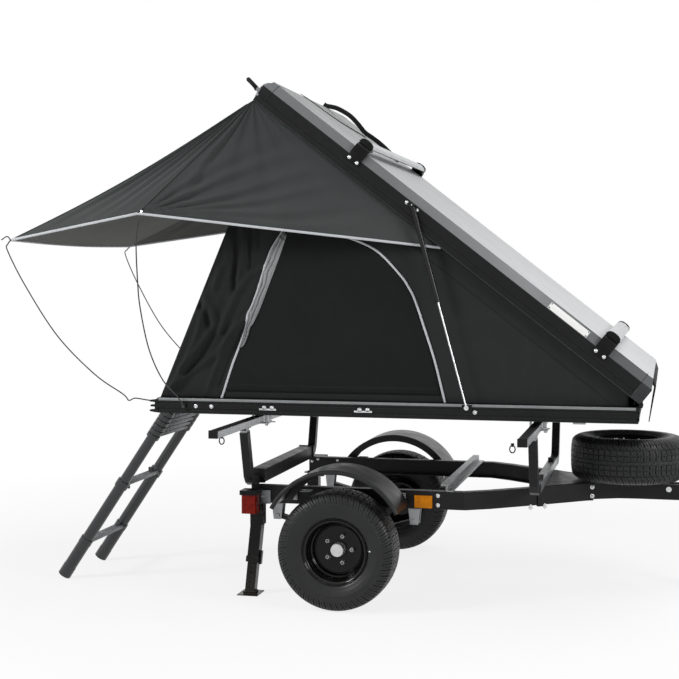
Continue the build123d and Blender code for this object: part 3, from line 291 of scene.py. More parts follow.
LADDER_BLACK = surface("ladder_anodised", srgb(26, 28, 31), 0.26, vary=0.2, blotch=9, grain=180, bump=0.08,
    brushed=(1, 1, 0.08), edge_wear_and_highlight=srgb(90, 94, 99), spec=0.6)
TREAD_GREY = surface("ladder_tread", srgb(104, 107, 111), 0.38, metal=0.5, vary=0.12, blotch=14, grain=240, bump=0.15,
    edge_wear_and_highlight=srgb(170, 172, 175))
TYRE_RUBBER = surface("tyre_rubber", srgb(24, 25, 25), 0.4, vary=0.2, blotch=12, grain=420, bump=0.25, depth=0.0005,
    edge_wear_and_highlight=srgb(78, 79, 80), dust=(srgb(60, 59, 56), 0.12), spec=0.32)
PLATE_WHITE = surface("plate_white", srgb(236, 236, 234), 0.4, vary=0.02, blotch=20, grain=900, bump=0.05,
    edge_wear_and_highlight=srgb(200, 200, 200))
# The fly's canvas darkens towards its top: painted shade.
FLY_OUT = cloth("fly_canvas", srgb(69, 73, 72), vary=0.1, sheen=0.05, fade=("Z", 1.6, 2.1, srgb(59, 62, 62)))
FLY_IN = cloth("fly_lining", srgb(95, 96, 93), vary=0.08, sheen=0.08)
WALL_CLOTH = cloth("wall_canvas", srgb(38, 39, 39), vary=0.12, sheen=0.03, fade=("X", -0.75, 0.6, srgb(42, 44, 44)))
WINDOW_CLOTH = cloth("window_cloth", srgb(26, 28, 27), vary=0.1, sheen=0.02)
PIPING = cloth("piping_tape", srgb(206, 209, 212), vary=0.08, thread=0.0008, sheen=0.1, rough=0.6)
FLAP_CLOTH = cloth("flap_mesh", srgb(156, 158, 159), vary=0.15, thread=0.0016, bump=0.6, sheen=0.1)
STRAP_WEB = cloth("strap_webbing", srgb(20, 21, 21), vary=0.1, thread=0.0022, bump=0.7, sheen=0.05)
FOAM_CLOTH = cloth("mattress_cover", srgb(150, 150, 148), vary=0.05)


def graded(tree, value, stops):
    """Colours that follow one another along a value."""
    tint = stops[0][1]
    for (low, _), (high, colour) in zip(stops, stops[1:]):
        tint = mixed(tree, ramp(tree, value, 0, 1, low, high), tint, colour)
    return tint


def paint_lid_light_and_shade(material, top, bevel):
    """The lid's sheet: painted shade makes its bevels a darker strip, picked out by how far their faces turn sideways,
    and painted light grades both the top and the bevels from the rear to the front.
    """
    tree = material.node_tree
    shader = next(n for n in tree.nodes if n.type == "BSDF_PRINCIPLED")
    made = shader.inputs["Base Color"].links[0].from_socket
    place = tree.nodes.new("ShaderNodeTexCoord")
    faces = fed(tree, "ShaderNodeSeparateXYZ", place.outputs["Normal"])
    lean = fed(tree, "ShaderNodeMath", faces.outputs["Y"], operation="ABSOLUTE")
    reach = fed(tree, "ShaderNodeSeparateXYZ", place.outputs["Object"]).outputs["X"]
    # Painted shade on the sideways-facing bevels, and painted light along the sheet's length.
    tint = mixed(tree, ramp(tree, lean.outputs[0], 0, 1, 0.3, 0.6), graded(tree, reach, top),
        graded(tree, reach, bevel))
    tree.links.new(mixed(tree, 1.0, tint, made, "MULTIPLY"), shader.inputs["Base Color"])


# Painted light on the lid's sheet: lighter towards the front, with painted shade darkening the bevels.
paint_lid_light_and_shade(
    LID_SKIN, [(-0.35, srgb(116, 118, 118)), (0.2, srgb(166, 167, 168)), (1.0, srgb(203, 204, 205))],
    [(0.1, srgb(111, 112, 113)), (0.65, srgb(134, 136, 137)), (0.72, srgb(134, 136, 137)), (1.05, srgb(82, 84, 85))])

LOOKS = {
    "side_rail_right side_rail_left drawbar_right drawbar_left rear_cross_member posts": FRAME_BLACK,
    "axle leaf_springs spare_carrier": FRAME_BLACK,
    "rear_jack_tubes rear_jack_leg_right rear_jack_leg_left": JACK_BLACK,
    "fender_right fender_left": FENDER_BLACK,
    "mid_cross_member front_cross_member post_brackets spring_clamps spring_hangers": ZINC,
    "fender_brackets lamp_brackets coupler tongue_jack_tube tongue_jack_leg tongue_caster_fork": ZINC,
    "rear_crossbar front_crossbar tray_runners lid_bars": SILVER_BAR,
    "bar_trim": RUBBER, "tail_lamps lid_clamps": PLASTIC, "tongue_caster_wheel": RUBBER,
    "right_rim left_rim spare_rim": RIM_BLACK, "right_hub left_hub": HUB_METAL,
    "tail_lenses": LENS_RED, "side_markers": LENS_AMBER,
    "tent_tray lid_frame tray_fittings lid_fittings": PROFILE_BLACK, "lid_skin": LID_SKIN,
    "strut_barrel_right strut_barrel_left": STRUT_BLACK, "strut_rod_right strut_rod_left": BRIGHT,
    "awning_rods": ROD_STEEL, "ladder ladder_foot_section": LADDER_BLACK, "lid_end_plate": CASTING,
    "right_tyre left_tyre spare_tyre": TYRE_RUBBER, "tent_walls fly": WALL_CLOTH, "mattress": FOAM_CLOTH,
}
for names, material in LOOKS.items():
    for name in names.split():
        for place in frame["nodes"][name].material_slots:
            place.material = material


# ---------------------------------------------------------------- mesh helpers
def mesh_piece(name, points, faces, *materials, smooth=True):
    data = bpy.data.meshes.new(name)
    data.from_pydata([tuple(p) for p in points], [], faces)
    data.validate()
    for material in materials:
        data.materials.append(material)
    if smooth:
        data.polygons.foreach_set("use_smooth", [True] * len(data.polygons))
    made = bpy.data.objects.new(name, data)
    bpy.context.scene.collection.objects.link(made)
    return made


def grid_faces(rows, columns, first=0, closed=False):
    """Quads of a grid whose points run along the columns first."""
    faces = []
    for i in range(rows - 1):
        for j in range(columns if closed else columns - 1):
            k = (j + 1) % columns
            a, b = first + i * columns + j, first + i * columns + k
            faces.append((a, b, b + columns, a + columns))
    return faces


GROUPS = {}


def add(group, points, faces):
    """Collect loose shapes that become one piece."""
    held = GROUPS.setdefault(group, ([], []))
    first = len(held[0])
    held[0].extend(Vector(p) for p in points)
    held[1].extend(tuple(first + i for i in face) for face in faces)


def frame_along(direction):
    """Two unit vectors square to a direction."""
    z = Vector(direction).normalized()
    side = z.orthogonal().normalized() if abs(z.z) > 0.9 else z.cross(Vector((0, 0, 1))).normalized()
    return side, z.cross(side).normalized(), z


def lathe(group, profile, at, out, sides=16, phase=0.0, capped=True):
    """Turn a profile of (radius, height) in metres about a line through a point."""
    x, y, z = frame_along(out)
    points, rows = [], len(profile)
    for radius, height in profile:
        for i in range(sides):
            a = 2 * math.pi * (i + phase) / sides
            points.append(Vector(at) + z * height + (x * math.cos(a) + y * math.sin(a)) * max(radius, 1e-5))
    faces = grid_faces(rows, sides, closed=True)
    if capped:
        faces.append(tuple(range((rows - 1) * sides, rows * sides)))
    add(group, points, faces)


def bolt(group, at, out, size=6.0, hexed=False, washer=True):
    """A dome or hexagon head with a washer, its size in millimetres across the head's half."""
    r = size / 1000
    lift = 0.0
    if washer:
        lathe(group, [(r * 1.5, 0), (r * 1.5, r * 0.18), (r * 1.4, r * 0.25)], at, out, 18)
        lift = r * 0.25
    start = Vector(at) + Vector(out).normalized() * lift
    if hexed:
        lathe(group, [(r, 0), (r, r * 0.8), (r * 0.85, r)], start, out, 6)
        lathe(group, [(r * 0.5, r), (r * 0.5, r * 1.5), (r * 0.4, r * 1.6)], start, out, 12)
    else:
        lathe(group, [(r, 0), (r * 0.97, r * 0.3), (r * 0.8, r * 0.6), (r * 0.45, r * 0.78), (r * 0.3, r * 0.7)],
            start, out, 16)


def tube(group, points, radius, sides=8, ends=True, flat=None):
    """A round bar, or a strap if flat gives its half width and the way it faces, along a line of points."""
    points = [Vector(p) for p in points]
    rings = []
    side = None
    for i, p in enumerate(points):
        ahead = (points[min(i + 1, len(points) - 1)] - points[max(i - 1, 0)]).normalized()
        if flat:
            side = ahead.cross(Vector(flat[1])).normalized()
        elif side is None:
            side = frame_along(ahead)[0]
        else:
            side = (side - ahead * side.dot(ahead)).normalized()
        other = ahead.cross(side)
        for j in range(sides):
            a = 2 * math.pi * (j + 0.5) / sides
            wide = flat[0] * 1.15 if flat else radius
            rings.append(p + side * math.cos(a) * wide + other * math.sin(a) * radius)
    faces = grid_faces(len(points), sides, closed=True)
    if ends:
        faces += [tuple(range(sides))[::-1], tuple(range((len(points) - 1) * sides, len(points) * sides))]
    add(group, rings, faces)


def smooth_line(points, steps=6):
    """A flowing line through a few points."""
    points = [Vector(p) for p in points]
    padded = [points[0] * 2 - points[1]] + points + [points[-1] * 2 - points[-2]]
    out = []
    for a, b, c, d in zip(padded, padded[1:], padded[2:], padded[3:]):
        for i in range(steps):
            t = i / steps
            bend, twist = 2 * a - 5 * b + 4 * c - d, 3 * b - a - 3 * c + d
            out.append(0.5 * (2 * b + (c - a) * t + bend * t * t + twist * t ** 3))
    return out + [points[-1]]


def solid_plate(group, outline, thick, place, bevel=0.0008):
    """A bevelled plate from an outline in metres, laid on a matrix's XY plane and built up along its Z."""
    shape = bmesh.new()
    corners = [shape.verts.new((x, y, 0)) for x, y in outline]
    face = shape.faces.new(corners)
    grown = bmesh.ops.extrude_face_region(shape, geom=[face])
    for item in grown["geom"]:
        if isinstance(item, bmesh.types.BMVert):
            item.co.z += thick
    bmesh.ops.recalc_face_normals(shape, faces=shape.faces)
    if bevel:
        bmesh.ops.bevel(shape, geom=list(shape.edges), offset=bevel, segments=2, profile=0.6, affect="EDGES",
            clamp_overlap=True)
    shape.verts.index_update()
    add(group, [place @ v.co for v in shape.verts], [[v.index for v in f.verts] for f in shape.faces])
    shape.free()


def rounded_block(group, low, high, bevel=0.001, place=None):
    """A block with softened edges between two corners."""
    w, d = high[0] - low[0], high[1] - low[1]
    lay = (place or Matrix.Identity(4)) @ Matrix.Translation((low[0], low[1], low[2]))
    solid_plate(group, [(0, 0), (w, 0), (w, d), (0, d)], high[2] - low[2], lay, bevel)


def slab(group, xs, ys, zs, bevel=0.001):
    """A softened block between places in millimetres, each pair in either order."""
    low, high = (pt(*(pick(span) for span in (xs, ys, zs))) for pick in (min, max))
    rounded_block(group, low, high, bevel)


def axes(at, x, y, z):
    """A matrix from a place and three directions."""
    made = Matrix((Vector(x).normalized(), Vector(y).normalized(), Vector(z).normalized())).transposed().to_4x4()
    return Matrix.Translation(Vector(at)) @ made


def settle(made, outward=None, weld=0.0):
    """Make a mesh's faces agree, turn them if the test says they face inward, and give their area."""
    shape = bmesh.new()
    shape.from_mesh(made.data)
    if weld:
        bmesh.ops.remove_doubles(shape, verts=shape.verts, dist=weld)
    bmesh.ops.recalc_face_normals(shape, faces=shape.faces)
    shape.normal_update()
    if outward and sum(outward(face) for face in shape.faces) < 0:
        bmesh.ops.reverse_faces(shape, faces=shape.faces)
    area = sum(face.calc_area() for face in shape.faces)
    shape.to_mesh(made.data)
    shape.free()
    return area


def thicken(made, thick, offset=-1, lining=0):
    """Give a sheet its thickness, its back in another material slot if it has a lining."""
    layer = made.modifiers.new("thickness", "SOLIDIFY")
    layer.thickness = thick
    layer.offset = offset
    layer.material_offset = lining


# ---------------------------------------------------------------- fly
CORNER = (-389, 670, 2219)
TIP = (-1536, 708, 1615)
SIDE = (-838, 902, 1720)
END = (439, 654, 1571)
HEM_TURN = 0.36
# Folds: place and half width as shares, depth in millimetres
RADIAL_FOLDS = [(0.06, 0.022, 12), (0.13, 0.025, 10), (0.20, 0.02, 12), (0.27, 0.022, 13), (0.33, 0.018, 9),
    (0.42, 0.016, 14), (0.50, 0.03, 9), (0.60, 0.03, 10), (0.72, 0.04, 8), (0.85, 0.05, 6)]
TENSION_FOLDS = [(0.07, 0.03, 12), (0.16, 0.035, 17), (0.27, 0.03, 13), (0.38, 0.04, 15), (0.55, 0.05, 14),
    (0.75, 0.06, 9)]


def ridge(x):
    return math.exp(-x * x)


def side_point(hem, out, sign):
    """A point of the fly's side; hem runs from 0 at the rear tip to 1 at the lid, out from the top corner."""
    c, tip, side, end = (pt(x, y * sign, z) for x, y, z in (CORNER, TIP, SIDE, END))
    rear = hem < HEM_TURN
    a, b = (tip, side) if rear else (side, end)
    share = hem / HEM_TURN if rear else (hem - HEM_TURN) / (1 - HEM_TURN)
    place = c.lerp(a.lerp(b, share), out)
    slack = math.sin(math.pi * out)
    if rear:
        place.z -= 0.030 * (1 - share) ** 2 * slack
    way = (a - c).cross(b - c)
    way = way.normalized() * (1 if way.y * sign > 0 else -1)
    push = (-0.016 if rear else -0.012) * math.sin(math.pi * share) * slack
    fade = min(1.0, (1 - hem) / 0.12) * min(1.0, hem / 0.05)
    envelope = math.sin(math.pi * min(1, out ** 0.75)) ** 0.8 if 0 < out < 1 else 0
    for spot, wide, deep in RADIAL_FOLDS:
        wander = spot + 0.012 * math.sin(5 * out + spot * 20)
        crease = ridge((hem - wander) / wide) - 0.6 * ridge((hem - wander - 1.5 * wide) / wide)
        push += deep / 1000 * 0.7 * envelope * crease * fade
    if hem > HEM_TURN:
        reach = place - side
        far = reach.length
        up_line, low_line = (c - side).normalized(), (end - side).normalized()
        span = up_line.angle(low_line)
        angle = low_line.angle(reach.normalized()) / span if far > 1e-4 else 0
        grow = min(far / 0.12, 1) * math.exp(-far / 0.75)
        for spot, wide, deep in TENSION_FOLDS:
            bend = spot + 0.03 * math.sin(6 * far + 9 * spot)
            crease = ridge((angle - bend) / wide) - 0.7 * ridge((angle - bend + 1.4 * wide) / wide)
            push += deep / 1000 * grow * crease * fade
    push += 0.004 * noise.noise(place * 5.0) * envelope * fade
    return place + way * push


def roof_point(out, across):
    """A point of the fly's roof, from the lid's rear edge to the rear hem and from the right side to the left."""
    a, b = side_point(0.0, out, -1), side_point(0.0, out, 1)
    place = a.lerp(b, across)
    belly = math.sin(math.pi * across)
    place.z -= 0.034 * belly * math.sin(math.pi * min(out, 1)) + 0.010 * belly * out * out
    fall = 0.0
    for spot, wide, deep in ((0.12, 0.05, 5), (0.3, 0.06, -4), (0.5, 0.08, 5), (0.7, 0.06, -4), (0.88, 0.05, 5)):
        wander = spot + 0.03 * math.sin(3 * out + 11 * spot)
        fall += deep / 1000 * ridge((across - wander) / wide) * math.sin(math.pi * out)
    place.z += fall + 0.005 * noise.noise(place * 3.0) * belly * math.sin(math.pi * out)
    return place


def build_fly():
    rows, side_columns, roof_columns = 72, 150, 50
    hems = [i / side_columns for i in range(side_columns + 1)]
    columns = [("side", h, -1) for h in reversed(hems)]
    columns += [("roof", i / roof_columns, 0) for i in range(1, roof_columns)]
    columns += [("side", h, 1) for h in hems]
    points = []
    for i in range(rows + 1):
        out = i / rows
        for kind, value, sign in columns:
            if kind == "roof":
                points.append(roof_point(out, value))
            else:
                points.append(side_point(value, out, sign))
    made = mesh_piece("fly_cloth", points, grid_faces(rows + 1, len(columns)), FLY_OUT, FLY_IN)
    area = settle(made, lambda face: face.normal.z * face.calc_area(), weld=0.0004)
    thicken(made, 0.0012, lining=1)
    return made, area


fly, fly_area = build_fly()
hem_line = [side_point(1 - i / 70, 1, -1) for i in range(71)]
hem_line += [roof_point(1, i / 40) for i in range(1, 40)] + [side_point(i / 70, 1, 1) for i in range(71)]
tube("fly_piping", hem_line, 0.0058, 8)
for sign in (-1, 1):
    for hem, lift, radius in ((HEM_TURN, (0, 0.001 * sign, 0.001), 0.0026), (0, (0, 0, 0.001), 0.0022)):
        tube("fly_seams", [side_point(hem, i / 40, sign) + Vector(lift) for i in range(1, 41)], radius, 6)
    corner = pt(SIDE[0], SIDE[1] * sign, SIDE[2])
    lathe("fly_rings", [(0.005, 0.001), (0.008, 0.0015), (0.0092, 0.003), (0.008, 0.0045), (0.005, 0.004)],
        corner + Vector((0.012, -0.006 * sign, 0.006)), (-0.2, sign, 0.3), 20)
    tip = pt(TIP[0], TIP[1] * sign, TIP[2])
    lathe("fly_rings", [(0.005, 0.001), (0.009, 0.0015), (0.010, 0.003), (0.009, 0.0045), (0.005, 0.004)],
        tip + Vector((0.02, -0.004 * sign, 0.006)), (-0.3, 0.1 * sign, 0.9), 20)

# ---------------------------------------------------------------- tent walls
WALL_Y = 642
WALL_FRONT = (1232, 1212)
WALL_REAR = (-842, -742)
WALL_ROUND = 9
LEFT_SHIFT = 23
LEFT_PIPE = [(-549, 907), (-543, 922), (-503, 1042), (-457, 1161), (-417, 1290), (-383, 1376), (-356, 1462),
    (-316, 1568), (-262, 1650)]
RIGHT_PIPE = [(459, 907), (415, 1081), (371, 1218), (327, 1347), (301, 1399), (262, 1455), (165, 1554), (63, 1606),
    (-60, 1642), (-170, 1657), (-262, 1662)]
# Folds of the side wall: their line, half width and depth
FOLD_LINES = [
    ([(-450, 1669), (-447, 1551), (-471, 1439)], 13, 13),
    ([(-357, 1495), (-412, 1464), (-471, 1383), (-517, 1289), (-550, 1208)], 15, 16),
    ([(-625, 1358), (-589, 1295), (-578, 1239), (-623, 1169), (-696, 1080), (-736, 1036)], 14, 16),
    ([(-791, 949), (-663, 1040), (-570, 1107), (-485, 1208), (-413, 1290)], 13, 15),
    ([(-784, 953), (-716, 1068), (-662, 1194), (-629, 1314)], 15, 14),
    ([(-624, 918), (-584, 1019), (-524, 1158), (-478, 1240)], 13, 12),
    ([(-515, 1644), (-522, 1526), (-555, 1477), (-582, 1402)], 14, 14),
    ([(-530, 1700), (-490, 1850)], 16, 13), ([(-420, 1700), (-380, 1900)], 16, 12),
    ([(-486, 1663), (-482, 1539), (-490, 1389)], 12, -15), ([(-418, 1668), (-418, 1489)], 11, -13),
    ([(-376, 1662), (-382, 1575)], 10, -10),
    ([(-648, 1314), (-619, 1270), (-609, 1226)], 13, -14), ([(-720, 1010), (-640, 1110), (-590, 1190)], 13, -9),
    ([(-560, 960), (-500, 1110), (-430, 1240)], 13, -8),
]


def line_distance(x, z, line):
    """How far a point lies from a broken line."""
    best = 1e9
    for (ax, az), (bx, bz) in zip(line, line[1:]):
        dx, dz = bx - ax, bz - az
        t = max(0.0, min(1.0, ((x - ax) * dx + (z - az) * dz) / (dx * dx + dz * dz)))
        best = min(best, math.hypot(x - ax - t * dx, z - az - t * dz))
    return best


def along(line, z):
    """Where a rising line stands at this height."""
    for (ax, az), (bx, bz) in zip(line, line[1:]):
        if az <= z <= bz:
            return ax + (bx - ax) * (z - az) / (bz - az)
    return line[-1][0] if z > line[-1][1] else line[0][0]


def wall_push(x, z, mirror_shift):
    """How far the side wall's cloth stands out, in millimetres."""
    push = 0.0
    for line, wide, deep in FOLD_LINES:
        d = line_distance(x + mirror_shift, z, line)
        push += 1.25 * deep * ridge(d / wide) if d < 4 * wide else 0
    inside = along(LEFT_PIPE, z) < x
    wave = 3.0 * noise.noise(Vector((x / 260, mirror_shift / 50 + 1, z / 420)))
    if inside:
        push += wave
    else:
        push += wave + 7 * noise.noise(Vector((x / 48 - z / 110, 3 + mirror_shift, z / 260)))
    return push


def rear_sway(y, z):
    """How far the rear wall's cloth hangs out, in millimetres."""
    hang = 8 * math.sin(y / 75 + 1.3 * math.sin(z / 300)) * ridge((abs(y) - 560) / 90)
    return hang + 7 * noise.noise(Vector((y / 150, 7, z / 500)))


def build_walls():
    rows, span = 92, 230
    ring = []
    for i in range(span + 1):
        f = 1.5 * i / span - 0.5 * (i / span) ** 2
        ring.append((-1, *(a - f * (a - b - WALL_ROUND) for a, b in zip(WALL_FRONT, WALL_REAR)), -WALL_Y))
    for i in range(1, 7):
        a = math.radians(15 * i)
        inset = WALL_ROUND - WALL_ROUND * math.sin(a)
        ring.append((0, *(b + inset for b in WALL_REAR), -WALL_Y + WALL_ROUND - WALL_ROUND * math.cos(a)))
    for i in range(1, 50):
        ring.append((0, *WALL_REAR, -WALL_Y + WALL_ROUND + 2 * (WALL_Y - WALL_ROUND) * i / 50))
    ring += [(1 if s == -1 else 0, b, t, -y) for s, b, t, y in reversed(ring[:span + 7])]
    points = []
    for i in range(rows + 1):
        v = i / rows
        for side, bottom, top, y in ring:
            low = pt(bottom, y, CLOTH_FOOT)
            high = lid_pt(TENT_FRONT - top, y, -0.6)
            place = low.lerp(high, v)
            hold = min(1, v / 0.05) * min(1, (1 - v) / 0.05)
            x, z = (place.x - AXLE_X) * 1000, place.z * 1000
            if side:
                place.y += side * wall_push(x, z, 0 if side < 0 else LEFT_SHIFT) / 1000 * hold
            else:
                place.x -= (rear_sway(y, z) + 4) / 1000 * hold * min(1, (WALL_Y - abs(y)) / 60)
            points.append(place)
    made = mesh_piece("wall_cloth", points, grid_faces(rows + 1, len(ring)), WALL_CLOTH, FLY_IN)
    middle = pt(0, 0, 1200)
    area = settle(made, lambda face: (face.calc_center_median() - middle).dot(face.normal))
    thicken(made, 0.0012, lining=1)
    return made, area


walls, wall_area = build_walls()


def wall_spot(x, z, sign, lift=2.0):
    """A point just off the side wall's cloth."""
    push = wall_push(x, z, 0 if sign < 0 else LEFT_SHIFT)
    return pt(x, sign * (WALL_Y + push + lift), z)


def resample(line, step):
    """Even points along a broken line."""
    flat = [Vector((x, 0, z)) for x, z in line]
    flowing = smooth_line(flat, 8)
    out, left = [flowing[0]], step
    for a, b in zip(flowing, flowing[1:]):
        gap = (b - a).length
        while left <= gap and gap > 0:
            out.append(a.lerp(b, left / gap))
            left += step
        left -= gap
    out.append(flowing[-1])
    return [(p.x, p.z) for p in out]


PANEL_TOP = 1650
for sign in (-1, 1):
    # Window panel with a stitched band above the tray
    rows, columns = 54, 44
    points = []
    for i in range(rows + 1):
        z = 936 + (PANEL_TOP - 936) * i / rows
        a, b = along(LEFT_PIPE, z), along(RIGHT_PIPE, z)
        for j in range(columns + 1):
            x = a + (b - a) * j / columns
            edge = min(j, columns - j, i, 4) / 4
            slack = 2.4 * noise.noise(Vector((x / 170, 11 + sign, z / 260 + x / 300)))
            points.append(wall_spot(x, z, sign, 1.2 + edge * (1.6 + slack)))
    side = "right" if sign < 0 else "left"
    panel = mesh_piece("window_panel_" + side, points, grid_faces(rows + 1, columns + 1), WINDOW_CLOTH)
    for line in (LEFT_PIPE, RIGHT_PIPE):
        tube("wall_piping", [wall_spot(x, z, sign, 3.0) for x, z in resample(line, 12)], 0.0050, 8)
    # Seams: a stitched line above the tray and one along the lid
    for z, radius in ((962, 0.0013), (968, 0.0010)):
        tube("wall_seams", [wall_spot(x, z, sign, 2.6) for x in range(-520, 440, 16)], radius, 6)
    slope = [(1205 - 18 * i, 916 + 18 * i * 0.7813) for i in range(78)]
    tube("wall_seams", [wall_spot(x - 24, z - 14, sign, 1.2) for x, z in slope], 0.0016, 6)
    # Mesh edge of the flap, turned back and crumpled
    fold_left = [(-470, 1126)] + [(x, z) for x, z in LEFT_PIPE if 1130 < z < 1660]
    fold_right = [(-468, 1130), (-446, 1141), (-426, 1181), (-414, 1222), (-397, 1245), (-364, 1315), (-335, 1390),
        (-306, 1464), (-273, 1550), (-244, 1630)]
    count, across = 90, 30
    a_line, b_line = resample(fold_left, 9), resample(fold_right, 9)
    points = []
    for i in range(count + 1):
        ax, az = a_line[round(i / count * (len(a_line) - 1))]
        bx, bz = b_line[round(i / count * (len(b_line) - 1))]
        for j in range(across + 1):
            t = j / across
            x, z = ax + (bx - ax) * t, az + (bz - az) * t
            swell = 6 * math.sin(math.pi * t) * min(1, i / 12) * min(1, (count - i) / 6)
            pleat = 5.5 * math.sin(t * 19 + 3 * noise.noise(Vector((z / 60, sign, 2)))) * math.sin(math.pi * t)
            points.append(wall_spot(x, z, sign, 4.5 + swell + pleat))
    flap = mesh_piece("turned_flap_" + side, points, grid_faces(count + 1, across + 1), FLAP_CLOTH)
    for piece in (panel, flap):
        thicken(piece, 0.0008, offset=0)

# Rear door: a zipped arch
door = [(-470, 925), (-478, 1300), (-455, 1600), (-360, 1790), (-180, 1880), (0, 1895), (180, 1880), (360, 1790),
    (455, 1600), (478, 1300), (470, 925)]
door_line = []
for a, b in zip(door, door[1:]):
    for i in range(10):
        door_line.append((a[0] + (b[0] - a[0]) * i / 10, a[1] + (b[1] - a[1]) * i / 10))
rear_low, rear_high = pt(WALL_REAR[0], 0, CLOTH_FOOT), lid_pt(TENT_FRONT - WALL_REAR[1], 0, -0.6)
door_points = []
for y, z in door_line:
    share = (z / 1000 - rear_low.z) / (rear_high.z - rear_low.z)
    place = rear_low.lerp(rear_high, share)
    place.x -= (rear_sway(y, z) + 7.5) / 1000
    place.y = y / 1000
    door_points.append(place)
tube("wall_piping", door_points, 0.0050, 8)

# ---------------------------------------------------------------- mattress
low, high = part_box("mattress")
low, high = Vector(low), Vector(high)
points = []
n_x, n_y = 48, 30
for level in (0, 1):
    for i in range(n_y + 1):
        for j in range(n_x + 1):
            u, v = j / n_x, i / n_y
            pull = 0.006 * (abs(2 * u - 1) ** 6 + abs(2 * v - 1) ** 6)
            x, y = low.x + (high.x - low.x) * u, low.y + (high.y - low.y) * v
            dent = 0.004 * (math.sin(u * math.pi * 8) * math.sin(v * math.pi * 5)) ** 2
            z = low.z + 0.002 if level == 0 else high.z - 0.001 - pull - 0.004 + dent
            points.append((x, y, z))
plane = (n_x + 1) * (n_y + 1)
faces = [tuple(reversed(f)) for f in grid_faces(n_y + 1, n_x + 1)] + grid_faces(n_y + 1, n_x + 1, plane)
around = [j for j in range(n_x + 1)] + [i * (n_x + 1) + n_x for i in range(1, n_y + 1)]
around += [n_y * (n_x + 1) + j for j in range(n_x - 1, -1, -1)] + [i * (n_x + 1) for i in range(n_y - 1, 0, -1)]
faces += [(a, b, b + plane, a + plane) for a, b in zip(around, around[1:] + around[:1])]
mattress = mesh_piece("mattress_pad", points, faces, FOAM_CLOTH)

# ---------------------------------------------------------------- tyres
PITCHES = 56
# Half of the tyre's section: radius, distance from its middle and depth of the tread's cuts
SIDEWALL = [(131.6, 76.0), (141, 79.5), (145.6, 81.2), (152, 85.6), (156, 88.2), (158, 88.6), (166, 93.2),
    (178, 98.2), (186, 100.2), (189, 101.6), (192, 101.2), (200, 102.2), (207, 102.2)]
SHOULDER = [(212, 102.0, 0), (216, 101.6, 3.5), (222, 100.4, 5), (228, 98.6, 5.5), (235, 95.6, 6), (241, 92, 6.5),
    (242.5, 91, 3), (244, 89.8, 7), (248.5, 86, 7), (252.5, 81.6, 7), (254.5, 78.6, 7)]
TREAD_Y = [(76, 7), (70, 7), (62, 7), (60.5, 8), (57.5, 8), (56, 7), (44, 7), (36, 7), (34.5, 8), (31, 8), (29.5, 7),
    (20, 7), (13, 7), (11.5, 9), (7.5, 9), (6, 3), (0, 3)]
RING_GROOVES = (59, 32.8, 9.5)


def crown(y):
    """The tyre's radius across the tread."""
    return 260.4 - 5.4 * (abs(y) / 77) ** 3


def tyre(name, node_name, centre, axle, body):
    """A tyre with a wavy block tread, shoulder sipes and a plain ribbed sidewall."""
    x, y, z = frame_along(axle)
    rows = [(r, s, 0.0, 0.0) for r, s in SIDEWALL]
    rows += [(r, s, deep, 1.0) for r, s, deep in SHOULDER]
    for s, deep in TREAD_Y:
        ring = any(abs(abs(s) - g) < 2.3 for g in RING_GROOVES)
        rows.append((crown(s) - (5.5 if ring else 0), s, 0.0 if ring else deep, 2.0))
    rows += [(r, -s, deep, kind) for r, s, deep, kind in reversed(rows[:-1])]
    notch = [(0.0, 0), (0.03, 1), (0.17, 1), (0.20, 0), (0.34, 0), (0.51, 0), (0.535, 0.6), (0.60, 0.6), (0.625, 0),
        (0.82, 0)]
    points = []
    for radius, side, deep, kind in rows:
        wave = 0.0
        face_turn = math.pi / 2
        if kind == 2.0:
            wave = 0.62 * math.sin(side / 88 * math.pi * 1.35) + 0.10 * math.sin(side / 88 * math.pi * 4)
        elif kind == 1.0:
            wave = (0.62 * math.sin(76 / 88 * math.pi * 1.35) + 0.012 * (radius - 254)) * (1 if side > 0 else -1)
            face_turn = math.radians(12 + 60 * min(1, max(0, (radius - 209) / 46)) ** 1.5)
        for p in range(PITCHES):
            for part, cut in notch:
                cut *= 0.5 if kind == 2.0 and part > 0.5 else 1.0
                a = 2 * math.pi * (p + part + wave) / PITCHES
                r = (radius - deep * cut * math.sin(face_turn)) / 1000
                out = (abs(side) - deep * cut * math.cos(face_turn)) * (1 if side > 0 else -1) / 1000
                points.append(Vector(centre) + z * out + (x * math.cos(a) + y * math.sin(a)) * r)
    columns = PITCHES * len(notch)
    made = mesh_piece(name, points, grid_faces(len(rows), columns, closed=True), TYRE_RUBBER)
    made.data.set_sharp_from_angle(angle=math.radians(38))
    settle(made, lambda face: (face.calc_center_median() - Vector(centre)).dot(face.normal))
    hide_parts(node_name)
    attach(made, body)


